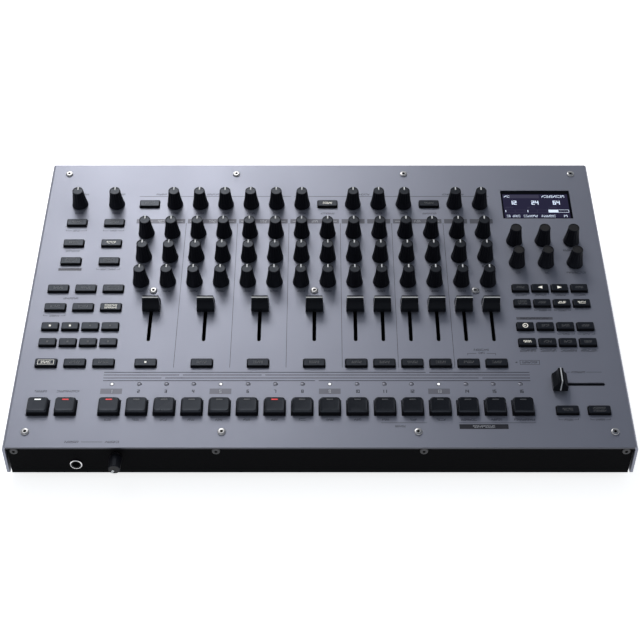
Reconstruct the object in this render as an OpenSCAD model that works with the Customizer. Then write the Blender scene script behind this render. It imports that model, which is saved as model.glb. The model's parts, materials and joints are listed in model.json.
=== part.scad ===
// Drum machine: a low sheet metal case with a sloping panel of knobs, faders,
// buttons and step keys, two boards inside and a row of sockets at the rear.
// Millimetres. X runs right along the front edge, Y to the rear, Z up, and the
// origin is on the ground under the middle of the whole. Panel coordinates are
// x, v (up the slope from the panel's front edge) and h (out of its upper face).

/* [Case] */
// Width over the two side walls
case_w = 488; // [486:1:510]
// Length of the top panel, measured up its slope
panel_len = 311; // [309:1:330]
// Slope of the top panel in degrees
panel_slope = 8; // [7:0.5:9]
// Thickness of the top panel and the side walls
panel_t = 2; // [1.5:0.1:2.4]
// Thickness of the bottom, front and rear sheets
sheet_t = 1.5; // [1.2:0.1:1.8]
// Height of the front wall, up to the upper face of the top panel
front_h = 30.5; // [30:0.5:36]
// Distance that the top panel reaches past the front and rear walls
panel_lip = 1.5; // [1:0.1:2.5]
// Outer radius of the bend between the top panel and each side wall
bend_r = 2.5; // [2.4:0.1:4]
// Gap between a side wall and the front or rear wall
wall_gap = 1.5; // [1:0.1:3]
// Depth of the flange that carries the top panel inside a wall
flange_d = 17; // [16:0.5:18]
// Height of the rubber feet
foot_h = 8.5; // [5:0.5:14]
// Diameter of the rubber feet
foot_d = 18; // [12:1:24]
// Distance of the feet from the case's edges
foot_inset = 26; // [24:1:40]

/* [Knobs] */
// Distance between neighbouring knob columns
column_pitch = 22.6; // [22:0.1:22.9]
// Middle of the fourteen knob columns, along X
columns_x = -4.7; // [-6:0.1:-3]
// Distance between neighbouring rows of channel knobs
row_pitch = 28.25; // [27:0.25:29]
// Lowest row of channel knobs, along v
lowest_row_v = 168.7; // [168:0.1:170]
// Top row of knobs, along v
top_row_v = 260.5; // [259:0.5:262]
// Diameter of a knob at its foot
knob_foot_d = 13.8; // [12:0.2:14.4]
// Diameter of a knob at its top
knob_top_d = 9.8; // [8:0.2:11]
// Height of a knob's top above the panel
knob_h = 17.6; // [14:0.2:22]
// Diameter of a knob's shaft
shaft_d = 6; // [5:0.1:6.5]
// Number of grip flutes round a knob
knob_flutes = 12; // [8:1:16]
// Depth of a grip flute
flute_depth = 0.35; // [0.2:0.05:0.5]

/* [Faders] */
// Travel of a fader
fader_travel = 34; // [30:0.5:35]
// Place of the fader caps at full travel, along v
fader_top_v = 140.7; // [140:0.1:142]
// Width of a fader cap, across its travel
cap_w = 14.8; // [12:0.2:16]
// Depth of a fader cap, along its travel
cap_d = 10.8; // [9.5:0.1:11.5]
// Height of a fader cap's ridge above the panel
cap_h = 12.8; // [11:0.2:15]
// Width of a fader slot
slot_w = 3.1; // [2.8:0.1:4]
// Middle of the cross fader's travel, along X
cross_x = 207.2; // [206:0.2:208]

/* [Buttons] */
// Width of a wide button
wide_w = 17.6; // [15:0.1:18]
// Width of a narrow button
narrow_w = 14.1; // [12:0.1:14.4]
// Depth of a button, up the slope
button_d = 7.8; // [7:0.1:8.6]
// Height of a button above the panel
button_h = 3; // [2:0.1:4.5]
// Travel of a button
button_travel = 1; // [0.5:0.1:1.5]
// Distance between narrow buttons
narrow_pitch = 16.5; // [16.2:0.1:16.8]

/* [Step keys] */
// Distance between neighbouring step keys
key_pitch = 21.63; // [21:0.01:21.8]
// Middle of the sixteen step keys, along X
keys_x = -3.1; // [-4:0.1:-2]
// Row of step keys, along v
keys_v = 37.3; // [37:0.1:38.5]
// Width of a step key at its foot
key_w = 17.1; // [15:0.1:17.6]
// Depth of a step key at its foot
key_d = 14.6; // [13:0.1:15.4]
// Height of a step key above the panel
key_h = 5.2; // [4:0.1:8]
// Taper of a step key, from foot to top, on each side
key_taper = 1.4; // [0.8:0.1:2]
// Depth of the dished top of a step key
key_dish = 0.4; // [0.1:0.05:0.7]
// Travel of a step key
key_travel = 1.8; // [1:0.1:2.2]
// Distance from the stop key to the first step key
transport_gap = 34; // [30:0.5:35]
// Diameter of the small lights over the step keys
light_d = 3; // [2:0.1:3.6]

/* [Display] */
// Width of the display window
window_w = 61.5; // [58:0.5:62]
// Depth of the display window, up the slope
window_d = 34.5; // [30:0.5:36]
// Thickness of the display window
window_t = 1.2; // [0.8:0.1:1.5]

/* [Front and rear sockets] */
// Diameter of a headphone or output plug's bore
plug_bore_d = 6.4; // [6.35:0.05:6.6]
// Distance between neighbouring output jacks
jack_pitch = 22; // [20:0.5:22.2]
// Height of the rear sockets' board above the bottom sheet
board_lift = 13.4; // [11:0.2:15]
// Distance of the headphone jack from the panel's left edge
phones_inset = 54.7; // [52:0.1:58]
// Distance of the headphone jack below the panel's front edge
phones_drop = 20.3; // [20:0.1:20.6]
// Distance of the volume knob from the panel's left edge
volume_inset = 86.7; // [84:0.1:92]
// Distance of the volume knob below the panel's front edge
volume_drop = 10.8; // [10.6:0.1:12]
// Diameter of the volume knob
volume_d = 10; // [8:0.2:12]
// Distance that the volume knob stands out of the front wall
volume_out = 14.5; // [12:0.5:18]

/* [Hidden] */
$fn = 48;

// Clearances: round a moving piece, and round a fixed one
run_gap = 0.35;
seat_gap = 0.2;
// Bare overlap of cutting bodies past the faces that they cut
cut = 1;

// Case
half_w = case_w / 2;
panel_y = panel_len * cos(panel_slope);
wall_half = half_w - panel_t - wall_gap;
jack_out = 3;
front_y = (volume_out - jack_out - panel_y) / 2;
front_z = foot_h + front_h;
front_wall_y = front_y + panel_lip;
rear_wall_y = front_y + panel_y - panel_lip;
bottom_z = foot_h + sheet_t;
wall_corner_r = 3;

// Screws
screw_d = 3;
screw_head_d = 6.4;
screw_head_h = 1.9;
screw_len = 8;
screw_hole_d = screw_d + 2 * seat_gap;
screw_side_inset = 16;
screw_mid_x = 76;
screw_x = [screw_side_inset - half_w, -screw_mid_x, screw_mid_x, half_w - screw_side_inset];
front_screw_v = 14.4;
rear_screw_inset = 11.7;
rear_screw_v = panel_len - rear_screw_inset;
middle_screw_v = 158.75;
middle_screw_columns = [0.5, 6.5, 12.5];
wall_screw_mid_x = 80;
wall_screw_inset = 5;
wall_screw_x = [
    wall_screw_inset - wall_half, -wall_screw_mid_x, wall_screw_mid_x,
    wall_half - wall_screw_inset
];
wall_screw_drop = panel_t + sheet_t + screw_d / 2 + seat_gap;
rear_screw_z = bottom_z + 5;

// Boards
board_t = 1.6;
control_gap = 11;
control_h = -panel_t - control_gap;
control_front_v = 22;
control_rear_inset = 21;
control_rear_v = panel_len - control_rear_inset;
main_board_z = bottom_z + board_lift;
main_board_d = 96;
board_side_gap = 6;
main_top_z = main_board_z + board_t;
main_front_y = rear_wall_y - sheet_t - seat_gap - main_board_d;
pillar_d = 6;
main_pillar_x = 205;
main_pillar_in = [8, 52];
ribbon_header_in = 10;

// Rotary controls
channel_columns = [0.5, 2.5, 4.5, 6.5, 8, 9, 10, 11, 12, 13];
column_count = 14;
row_count = 3;
left_x = -197.3;
right_x = 193.6;
left_pair_pitch = 32.7;
triple_pitch = 23.15;
encoder_pitch = 24.8;
encoder_rows_v = [190.05, 215.7];
top_columns = [1, 2, 3, 4, 5, 6, 8, 9, 10, 12, 13];
top_knob_x = concat(
    [left_x - left_pair_pitch / 2, left_x + left_pair_pitch / 2],
    [for (c = top_columns) column_x(c)]
);
knob_gap = 0.6;
knob_disc_gap = 0.25;
flute_w = 1.1;
flute_start = 2.6;
pointer_w = 1.1;
pointer_len = 3.5;
pointer_depth = 0.6;
pot_w = 9.8;
pot_d = 11.4;
pot_h = 6.8;
pot_bore_h = 4;
shaft_end_h = control_h + pot_h - pot_bore_h + run_gap;

// Faders
slot_end = 0.8;
stem_gap = 0.75;
stem_w = slot_w - 2 * stem_gap;
stem_l = 3;
slot_len = fader_travel + stem_l + 2 * slot_end;
slide_pot_w = 9;
slide_pot_h = 7;
slide_pot_slot_h = 4.5;
slide_pot_end = 7;
slide_pot_len = slot_len + 2 * slide_pot_end;
stem_end_h = control_h + slide_pot_h - slide_pot_slot_h + run_gap;
cross_v = 60.5;
cap_gap = 0.8;
cap_ridge = 2.8;
cap_skirt = 5;
cap_narrowing = 0.7;

// Buttons and keys
button_flange = 0.9;
button_flange_t = 1;
button_chamfer = 0.5;
button_corner_r = 1;
switch_w = 6;
switch_h = 4.6;
switch_button_h = 1.2;
switch_button_d = 3.4;
plunger_w = 3.2;
top_button_columns = [0, 7, 11];
left_pair_v = [237.2, 212.6, 191.6];
left_triple_v = [160.4, 139.8, 81.1];
left_narrow_v = [119.1, 102.3];
channel_button_v = 81.1;
right_narrow_v = [160.9, 144.2, 119.2, 102.3];
right_wide_v = 34.4;
step_count = 16;
key_corner_r = 1.6;
key_skirt_h = 1.2;
key_window_w = 6;
key_window_d = 2.4;
key_window_t = 0.8;
stop_x = key_x(0) - transport_gap;
start_x = stop_x - key_pitch;
lights_v = 60.5;
light_out = 0.4;

// Display
display_x = right_x - 0.6;
display_v = 260.9;
window_sink = 0.3;
module_rim = 2;
module_w = window_w + 2 * module_rim;
module_d = window_d + 2 * module_rim;
glass_inset = 1;

// Sockets
jack_count = 12;
jack_first_x = 22;
jack_body = [16, 24, 18];
jack_rise = 9;
jack_collar_d = 9;
jack_bore_len = 20;
nut_d = 14;
nut_h = 2;
din_x = [98, 120, 142];
din_body = [19, 12, 19.5];
din_rise = 10;
din_collar_d = 16;
mini_x = [43, 53.5, 64, 74.5];
mini_body = [8, 11, 9];
mini_rise = 5;
mini_collar_d = 6;
mini_bore_d = 3.6;
usb_x = 166;
usb_body = [12, 16, 10.8];
usb_mouth = [8.5, 9, 7.8];
dc_x = 190;
dc_body = [9, 14, 11];
dc_rise = 6.5;
dc_bore_d = 6.2;
rocker_x = 216;
rocker_rise = 12;
rocker_z = main_top_z + rocker_rise;
rocker_w = 12.2;
rocker_l = 18.2;
rocker_tilt = 8;
rocker_pivot_in = 1.6;
rocker_play = [run_gap, 0.8];
rocker_wall = 0.9;
rocker_box = [
    rocker_w + 2 * rocker_play[0] + 2 * rocker_wall,
    rocker_l + 2 * rocker_play[1] + 2 * rocker_wall
];
phones_x = -half_w + phones_inset;
phones_z = front_z - phones_drop;
phones_body = [14, 24, 11.6];
phones_out = 1;
volume_x = -half_w + volume_inset;
volume_z = front_z - volume_drop;
volume_pot = [9.6, 7, 9.6];
volume_shaft_d = 4;
volume_collar_d = 7;
volume_collar_out = 1.4;
volume_shaft_in = 3;

function column_x(c) = columns_x + (c - (column_count - 1) / 2) * column_pitch;
function row_v(r) = lowest_row_v + r * row_pitch;
function key_x(i) = keys_x + (i - (step_count - 1) / 2) * key_pitch;
function spread(n, pitch, mid) = [for (i = [0 : n - 1]) mid + (i - (n - 1) / 2) * pitch];

// Height of the plane that lies a depth below the panel's upper face
function plane_z(y, depth) =
    front_z + (y - front_y) * tan(panel_slope) - depth / cos(panel_slope);

// Corner points of a rounded rectangle about the origin
function rounded_points(w, d, r, n = 4) = [
    for (q = [0 : 3], i = [0 : n - 1])
        let (a = 90 * q + 90 * i / (n - 1))
        let (cx = (q == 0 || q == 3) ? w / 2 - r : r - w / 2)
        let (cy = q < 2 ? d / 2 - r : r - d / 2)
        [cx + r * cos(a), cy + r * sin(a)]
];

module on_panel() {
    translate([0, front_y, front_z]) rotate([panel_slope, 0, 0]) children();
}

// Places a body drawn with its mouth at the origin, facing the rear
module at_rear(x, z) {
    translate([x, rear_wall_y, z]) children();
}

// A profile in (v, h), drawn out across X about the middle
module across_x(w) {
    translate([-w / 2, 0, 0]) rotate([90, 0, 90]) linear_extrude(w) children();
}

// A profile in (x, h), drawn out along v about the middle
module along_v(d) {
    translate([0, d / 2, 0]) rotate([90, 0, 0]) linear_extrude(d) children();
}

// A round body along Y that starts at the origin and runs to the rear
module rear_rod(d, l) {
    rotate([-90, 0, 0]) cylinder(d = d, h = l);
}

// ---- Places of the buttons, as [x, v] lists ----

left_wide_places = [
    for (v = left_pair_v, x = spread(2, left_pair_pitch, left_x)) [x, v],
    for (v = left_triple_v, x = spread(3, triple_pitch, left_x)) [x, v]
];
left_narrow_places = [
    for (v = left_narrow_v, x = spread(4, narrow_pitch, left_x)) [x, v]
];
centre_places = [
    for (c = top_button_columns) [column_x(c), top_row_v],
    for (c = channel_columns) [column_x(c), channel_button_v]
];
right_narrow_places = [
    for (v = right_narrow_v, x = spread(4, narrow_pitch, right_x)) [x, v]
];
right_wide_places = [
    for (i = [0, 1]) [right_x + i * encoder_pitch, right_wide_v]
];
wide_places = concat(left_wide_places, centre_places, right_wide_places);
narrow_places = concat(left_narrow_places, right_narrow_places);
key_places = concat([[start_x, keys_v], [stop_x, keys_v]],
    [for (i = [0 : step_count - 1]) [key_x(i), keys_v]]);
channel_knob_places = [
    for (r = [0 : row_count - 1], c = [0 : column_count - 1]) [column_x(c), row_v(r)]
];
top_knob_places = [for (x = top_knob_x) [x, top_row_v]];
encoder_places = [
    for (v = encoder_rows_v, x = spread(3, encoder_pitch, right_x)) [x, v]
];
knob_places = concat(channel_knob_places, top_knob_places, encoder_places);
panel_screw_places = concat(
    [for (x = screw_x, v = [front_screw_v, rear_screw_v]) [x, v]],
    [for (c = middle_screw_columns) [column_x(c), middle_screw_v]]
);
fader_mid_v = fader_top_v - fader_travel / 2;

// ---- Case ----

module slot_2d(l, w) {
    square([w, l - w], center = true);
    for (s = [-1, 1]) translate([0, s * (l - w) / 2]) circle(d = w);
}

module top_panel() {
    plate_w = case_w - 2 * bend_r;
    color([0.58, 0.59, 0.64]) on_panel()
    translate([0, 0, -panel_t]) linear_extrude(panel_t) difference() {
        translate([-plate_w / 2, 0]) square([plate_w, panel_len]);
        for (p = knob_places) translate(p) circle(d = shaft_d + 4 * run_gap, $fn = 32);
        for (p = wide_places) translate(p)
            square([wide_w + 2 * run_gap, button_d + 2 * run_gap], center = true);
        for (p = narrow_places) translate(p)
            square([narrow_w + 2 * run_gap, button_d + 2 * run_gap], center = true);
        for (p = key_places) translate(p)
            square([key_w + 2 * run_gap, key_d + 2 * run_gap], center = true);
        for (c = channel_columns) translate([column_x(c), fader_mid_v])
            slot_2d(slot_len, slot_w);
        translate([cross_x, cross_v]) rotate(90) slot_2d(slot_len, slot_w);
        for (i = [0 : step_count - 1]) translate([key_x(i), lights_v])
            circle(d = light_d + 2 * seat_gap, $fn = 24);
        translate([display_x, display_v])
            square([window_w + 2 * seat_gap, window_d + 2 * seat_gap], center = true);
        for (p = panel_screw_places) translate(p) circle(d = screw_hole_d, $fn = 24);
    }
}

// One side of the folded cover: the bend along the panel's edge and the flat
// wall below it, cut to the case's side view. side is -1 on the left, 1 on the
// right.
module side_wall(side) {
    leg = front_h + panel_len * sin(panel_slope);
    color([0.5, 0.51, 0.56]) intersection() {
        on_panel() translate([side * (half_w - bend_r), panel_len + leg, -bend_r])
        rotate([90, 0, 0]) linear_extrude(panel_len + 2 * leg) {
            intersection() {
                difference() {
                    circle(r = bend_r);
                    circle(r = bend_r - panel_t);
                }
                translate([side > 0 ? 0 : -bend_r, 0]) square(bend_r);
            }
            translate([side > 0 ? bend_r - panel_t : -bend_r, -leg]) square([panel_t, leg]);
        }
        across_x(case_w + 2 * cut) side_outline();
    }
}

// Side view of the case in (y, z), open above the panel
module side_outline() {
    r = wall_corner_r;
    rear_y = front_y + panel_y;
    high_z = plane_z(rear_y, 0) + r;
    polygon(concat(
        [[rear_y, high_z], [front_y, high_z]],
        [for (a = [180 : 15 : 270]) [front_y + r + r * cos(a), foot_h + r + r * sin(a)]],
        [for (a = [270 : 15 : 360]) [rear_y - r + r * cos(a), foot_h + r + r * sin(a)]]
    ));
}

module left_side_wall() {
    side_wall(-1);
}

module right_side_wall() {
    side_wall(1);
}

// Wall and inward flange in (y, z). outer_y is the outer face and inward is 1
// at the front and -1 at the rear.
module wall_section(outer_y, inward) {
    inner_y = outer_y + inward * sheet_t;
    tip_y = outer_y + inward * flange_d;
    polygon([
        [outer_y, foot_h],
        [outer_y, plane_z(outer_y, panel_t)],
        [tip_y, plane_z(tip_y, panel_t)],
        [tip_y, plane_z(tip_y, panel_t + sheet_t)],
        [inner_y, plane_z(inner_y, panel_t + sheet_t)],
        [inner_y, foot_h]
    ]);
}

module flange_screw_holes(v) {
    on_panel() for (x = screw_x) translate([x, v, -panel_t - sheet_t - cut])
        cylinder(d = screw_hole_d, h = sheet_t + 2 * cut, $fn = 24);
}

module front_wall() {
    color([0.06, 0.06, 0.07]) difference() {
        across_x(2 * wall_half) wall_section(front_wall_y, 1);
        flange_screw_holes(front_screw_v);
        translate([phones_x, front_wall_y - cut, phones_z])
            rear_rod(jack_collar_d + 2 * seat_gap, sheet_t + 2 * cut);
        translate([volume_x, front_wall_y - cut, volume_z])
            rear_rod(volume_collar_d + 2 * seat_gap, sheet_t + 2 * cut);
        for (x = wall_screw_x) translate([x, front_wall_y - cut, front_z - wall_screw_drop])
            rear_rod(screw_hole_d, sheet_t + 2 * cut, $fn = 24);
    }
}

module rear_wall() {
    color([0.06, 0.06, 0.07]) difference() {
        across_x(2 * wall_half) wall_section(rear_wall_y, -1);
        flange_screw_holes(rear_screw_v);
        translate([0, rear_wall_y + cut, 0]) rotate([90, 0, 0])
        linear_extrude(sheet_t + 2 * cut) rear_holes_2d();
    }
}

// Holes of the rear wall in (x, z)
module rear_holes_2d() {
    for (i = [0 : jack_count - 1])
        translate([jack_first_x - i * jack_pitch, main_top_z + jack_rise])
            circle(d = jack_collar_d + 2 * seat_gap);
    for (x = din_x) translate([x, main_top_z + din_rise])
        circle(d = din_collar_d + 2 * seat_gap);
    for (x = mini_x) translate([x, main_top_z + mini_rise])
        circle(d = mini_collar_d + 2 * seat_gap);
    translate([usb_x, main_top_z + usb_body[2] / 2])
        square([usb_body[0] + 2 * seat_gap, usb_body[2] + 2 * seat_gap], center = true);
    translate([dc_x, main_top_z + dc_rise]) circle(d = dc_bore_d + 2 * seat_gap);
    translate([rocker_x, rocker_z])
        square([rocker_box[0] + 2 * seat_gap, rocker_box[1] + 2 * seat_gap], center = true);
    for (x = wall_screw_x) translate([x, rear_screw_z]) circle(d = screw_hole_d, $fn = 24);
}

module bottom_cover() {
    inner_front = front_wall_y + sheet_t;
    inner_rear = rear_wall_y - sheet_t;
    vent_l = 40;
    vent_w = 3;
    vent_pitch = 8;
    vent_count = 8;
    vent_first_x = 90;
    vent_y = 40;
    color([0.07, 0.07, 0.08]) translate([0, 0, foot_h]) linear_extrude(sheet_t)
    difference() {
        translate([-wall_half, inner_front]) square([2 * wall_half, inner_rear - inner_front]);
        for (s = [-1, 1], i = [0 : vent_count - 1])
            translate([s * (vent_first_x + i * vent_pitch), vent_y]) slot_2d(vent_l, vent_w);
        for (p = foot_places) translate(p) circle(d = screw_hole_d, $fn = 24);
        for (p = main_pillar_places) translate(p) circle(d = screw_hole_d, $fn = 24);
    }
}
foot_places = [
    for (x = [-1, 1], y = [front_y + foot_inset, front_y + panel_y - foot_inset])
        [x * (half_w - foot_inset), y]
];
main_pillar_places = [
    for (x = [-main_pillar_x, 0, main_pillar_x], y = main_pillar_in) [x, main_front_y + y]
];

module rubber_feet() {
    bevel = 1;
    taper = 1;
    color([0.1, 0.1, 0.1]) for (p = foot_places) translate(p) rotate_extrude() polygon([
        [0, 0], [foot_d / 2 - taper - bevel, 0], [foot_d / 2 - taper, bevel],
        [foot_d / 2, foot_h], [0, foot_h]
    ]);
}

// ---- Screws and pillars ----

// Button head screw with a hexagon socket. The head sits on the origin plane.
module screw(len) {
    socket_d = 2.6;
    crown_d = screw_head_d - 2.6;
    difference() {
        rotate_extrude($fn = 32) polygon([
            [0, -len], [screw_d / 2, -len], [screw_d / 2, 0], [screw_head_d / 2, 0],
            [screw_head_d / 2, 0.35 * screw_head_h],
            [(screw_head_d + crown_d) / 4, 0.85 * screw_head_h],
            [crown_d / 2, screw_head_h], [0, screw_head_h]
        ]);
        translate([0, 0, screw_head_h / 2]) cylinder(d = socket_d, h = screw_head_h, $fn = 6);
    }
}

module case_screws() {
    color([0.75, 0.75, 0.77]) {
        on_panel() for (p = panel_screw_places) translate(p) screw(screw_len);
        for (x = wall_screw_x) {
            translate([x, front_wall_y, front_z - wall_screw_drop]) rotate([90, 0, 0])
                screw(screw_len);
            translate([x, rear_wall_y, rear_screw_z]) rotate([-90, 0, 0]) screw(screw_len);
        }
    }
}

module pillar(h) {
    difference() {
        cylinder(d = pillar_d, h = h, $fn = 6);
        translate([0, 0, -cut]) cylinder(d = screw_d + seat_gap, h = h + 2 * cut, $fn = 24);
    }
}

module board_pillars() {
    color([0.8, 0.8, 0.8]) {
        on_panel() for (c = middle_screw_columns)
            translate([column_x(c), middle_screw_v, control_h]) pillar(control_gap);
        for (p = main_pillar_places) translate([p[0], p[1], bottom_z]) pillar(board_lift);
    }
}

// ---- Boards ----

module control_board() {
    board_half = half_w - panel_t - board_side_gap;
    color([0.05, 0.25, 0.12]) on_panel()
    translate([0, 0, control_h - board_t]) linear_extrude(board_t) difference() {
        translate([-board_half, control_front_v])
            square([2 * board_half, control_rear_v - control_front_v]);
        for (c = middle_screw_columns) translate([column_x(c), middle_screw_v])
            circle(d = screw_hole_d, $fn = 24);
    }
}

// The rear sockets' board, and the small one under the headphone jack
module main_board() {
    board_half = wall_half - board_side_gap;
    phones_board = [60, 30];
    phones_board_margin = 2;
    color([0.05, 0.25, 0.12]) {
        translate([0, 0, main_board_z]) linear_extrude(board_t) difference() {
            translate([-board_half, main_front_y]) square([2 * board_half, main_board_d]);
            for (p = main_pillar_places) translate(p) circle(d = screw_hole_d, $fn = 24);
        }
        translate([
            phones_x - phones_body[0] / 2 - phones_board_margin, front_wall_y + sheet_t,
            phones_z - phones_body[2] / 2 - board_t
        ]) cube([phones_board[0], phones_board[1], board_t]);
    }
}

// Flat cable that bows out in front of its two headers, from the main board up
// to the control board
module ribbon_cable() {
    ribbon_w = 34;
    ribbon_t = 1;
    header = [38, 7, 8];
    header_y = main_front_y + ribbon_header_in;
    low_z = main_top_z + header[2] / 2;
    board_low_z = plane_z(header_y, panel_t + control_gap + board_t);
    bow_r = (board_low_z - header[2] / 2 - low_z) / 2;
    color([0.6, 0.6, 0.62]) {
        translate([-header[0] / 2, header_y, main_top_z]) cube(header);
        difference() {
            translate([-header[0] / 2, header_y, board_low_z - header[2]])
                cube([header[0], header[1], 2 * header[2]]);
            on_panel() translate([-half_w, 0, control_h - board_t])
                cube([case_w, panel_len, 4 * header[2]]);
        }
        translate([0, header_y, low_z + bow_r]) across_x(ribbon_w) {
            difference() {
                circle(r = bow_r + ribbon_t / 2);
                circle(r = bow_r - ribbon_t / 2);
                translate([0, -2 * bow_r]) square(4 * bow_r);
            }
            for (s = [-1, 1]) translate([0, s * bow_r - ribbon_t / 2]) square([cut, ribbon_t]);
        }
    }
}

// ---- Rotary controls ----

module rotary_pots() {
    color([0.35, 0.35, 0.36]) {
        on_panel() for (p = knob_places) translate([p[0], p[1], control_h]) difference() {
            translate([-pot_w / 2, -pot_d / 2, 0]) cube([pot_w, pot_d, pot_h]);
            translate([0, 0, pot_h - pot_bore_h])
                cylinder(d = shaft_d + 2 * run_gap, h = pot_bore_h + cut, $fn = 32);
        }
        translate([volume_x, front_wall_y + sheet_t, volume_z]) difference() {
            union() {
                translate([-volume_pot[0] / 2, 0, -volume_pot[2] / 2]) cube(volume_pot);
                translate([0, -sheet_t - volume_collar_out, 0])
                    rear_rod(volume_collar_d, sheet_t + volume_collar_out + cut);
            }
            translate([0, -sheet_t - volume_collar_out - cut, 0]) rear_rod(
                volume_shaft_d + 2 * run_gap,
                sheet_t + volume_collar_out + cut + volume_shaft_in + run_gap
            );
        }
    }
}

// Half of a knob's section in (r, h): a rounded foot, a long taper, a rim and
// a disc that lies a little below the rim
module knob_section() {
    foot_r = knob_foot_d / 2;
    top_r = knob_top_d / 2;
    foot_round = 0.8;
    rim_w = 0.45;
    polygon(concat(
        [[0, knob_h - knob_disc_gap], [0, knob_gap]],
        [for (a = [270 : 22.5 : 360])
            [foot_r - foot_round + foot_round * cos(a), knob_gap + foot_round + foot_round * sin(a)]],
        [[top_r, knob_h - rim_w], [top_r - rim_w / 2, knob_h], [top_r - rim_w, knob_h],
         [top_r - rim_w, knob_h - knob_disc_gap]]
    ));
}

// Grip flutes: long boxes laid on the knob's taper, sunk by the flute's depth
module grip_flutes() {
    foot_r = knob_foot_d / 2;
    top_r = knob_top_d / 2;
    lean = atan((foot_r - top_r) / (knob_h - knob_gap));
    for (i = [0 : knob_flutes - 1]) rotate(360 * (i + 0.5) / knob_flutes)
        translate([foot_r - flute_depth, 0, knob_gap + flute_start]) rotate([0, -lean, 0])
        translate([0, -flute_w / 2, 0]) cube([foot_r, flute_w, knob_h]);
}

// A turning control on its shaft. A pointer runs out to the rim at the rear.
module knob(pointer = true) {
    difference() {
        union() {
            rotate_extrude() knob_section();
            translate([0, 0, shaft_end_h]) cylinder(d = shaft_d, h = knob_gap - shaft_end_h + cut);
        }
        if (pointer) translate([-pointer_w / 2, knob_top_d / 2 - pointer_len, knob_h - pointer_depth])
            cube([pointer_w, pointer_len + cut, 1]);
        grip_flutes();
    }
}

module channel_knobs() {
    color([0.08, 0.08, 0.09]) on_panel() for (p = channel_knob_places) translate(p) knob();
}

module top_knob(i) {
    color([0.08, 0.08, 0.09]) on_panel() translate(top_knob_places[i - 1]) knob();
}

module encoder(i) {
    color([0.08, 0.08, 0.09]) on_panel() translate(encoder_places[i - 1]) knob(false);
}

module volume_knob() {
    bevel = 0.5;
    taper = 0.4;
    skirt_h = volume_collar_out + 0.6;
    notch = [1, 3, 0.8];
    color([0.09, 0.09, 0.1]) translate([volume_x, front_wall_y, volume_z])
    rotate([90, 0, 0]) difference() {
        rotate_extrude() polygon([
            [0, -sheet_t - volume_shaft_in], [volume_shaft_d / 2, -sheet_t - volume_shaft_in],
            [volume_shaft_d / 2, skirt_h], [volume_d / 2, skirt_h],
            [volume_d / 2 - taper, volume_out - bevel],
            [volume_d / 2 - taper - bevel, volume_out], [0, volume_out]
        ]);
        rotate(150) translate([-notch[0] / 2, volume_d / 2 - notch[1], volume_out - notch[2]])
            cube([notch[0], notch[1] + cut, notch[2] + cut]);
    }
}

// ---- Faders ----

module slide_pot() {
    translate([0, 0, control_h]) difference() {
        translate([-slide_pot_w / 2, -slide_pot_len / 2, 0])
            cube([slide_pot_w, slide_pot_len, slide_pot_h]);
        translate([-slot_w / 2, -slot_len / 2, slide_pot_h - slide_pot_slot_h])
            cube([slot_w, slot_len, slide_pot_slot_h + cut]);
    }
}

module slide_pots() {
    color([0.3, 0.3, 0.31]) on_panel() {
        for (c = channel_columns) translate([column_x(c), fader_mid_v]) slide_pot();
        translate([cross_x, cross_v]) rotate(90) slide_pot();
    }
}

// Fader cap and stem. The travel runs along v; the ridge lies across it, and
// both flanks are hollowed for the fingertips.
module fader() {
    flank_r = 9;
    top_half = cap_ridge / 2;
    foot_half = cap_d / 2;
    bevel = 0.4;
    intersection() {
        across_x(cap_w + 2 * cut) difference() {
            polygon([
                [-foot_half, cap_gap], [foot_half, cap_gap], [foot_half, cap_skirt],
                [top_half, cap_h], [-top_half, cap_h], [-foot_half, cap_skirt]
            ]);
            for (s = [-1, 1]) translate([s * flank_x(flank_r), flank_h(flank_r)])
                circle(r = flank_r, $fn = 64);
        }
        along_v(cap_d + 2 * cut) polygon([
            [-cap_w / 2, cap_gap], [cap_w / 2, cap_gap],
            [cap_w / 2 - cap_narrowing, cap_h - bevel],
            [cap_w / 2 - cap_narrowing - bevel, cap_h],
            [-cap_w / 2 + cap_narrowing + bevel, cap_h],
            [-cap_w / 2 + cap_narrowing, cap_h - bevel]
        ]);
    }
    translate([-stem_w / 2, -stem_l / 2, stem_end_h])
        cube([stem_w, stem_l, cap_gap - stem_end_h]);
}

// Centre of the hollow's circle, which passes through both ends of a flank
flank_dv = cap_d / 2 - cap_ridge / 2;
flank_dh = cap_h - cap_skirt;
flank_len = norm([flank_dv, flank_dh]);
function flank_reach(r) = sqrt(r * r - flank_len * flank_len / 4);
function flank_x(r) =
    (cap_d + cap_ridge) / 4 + flank_reach(r) * flank_dh / flank_len;
function flank_h(r) = (cap_h + cap_skirt) / 2 + flank_reach(r) * flank_dv / flank_len;

module channel_fader(i) {
    color([0.08, 0.08, 0.09]) on_panel()
    translate([column_x(channel_columns[i - 1]), fader_top_v]) fader();
}

module cross_fader() {
    color([0.08, 0.08, 0.09]) on_panel()
    translate([cross_x - fader_travel / 2, cross_v]) rotate(90) fader();
}

// ---- Buttons and keys ----

// A block w by d, from low to high, with a bevel round its upper edge
module bevelled_block(w, d, r, low, high, bevel) {
    intersection() {
        translate([0, 0, low]) linear_extrude(high - low) polygon(rounded_points(w, d, r));
        across_x(w + cut) bevelled_section(d, low, high, bevel);
        along_v(d + cut) bevelled_section(w, low, high, bevel);
    }
}

module bevelled_section(w, low, high, bevel) {
    polygon([
        [-w / 2, low - cut], [w / 2, low - cut], [w / 2, high - bevel],
        [w / 2 - bevel, high], [bevel - w / 2, high], [-w / 2, high - bevel]
    ]);
}

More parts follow.
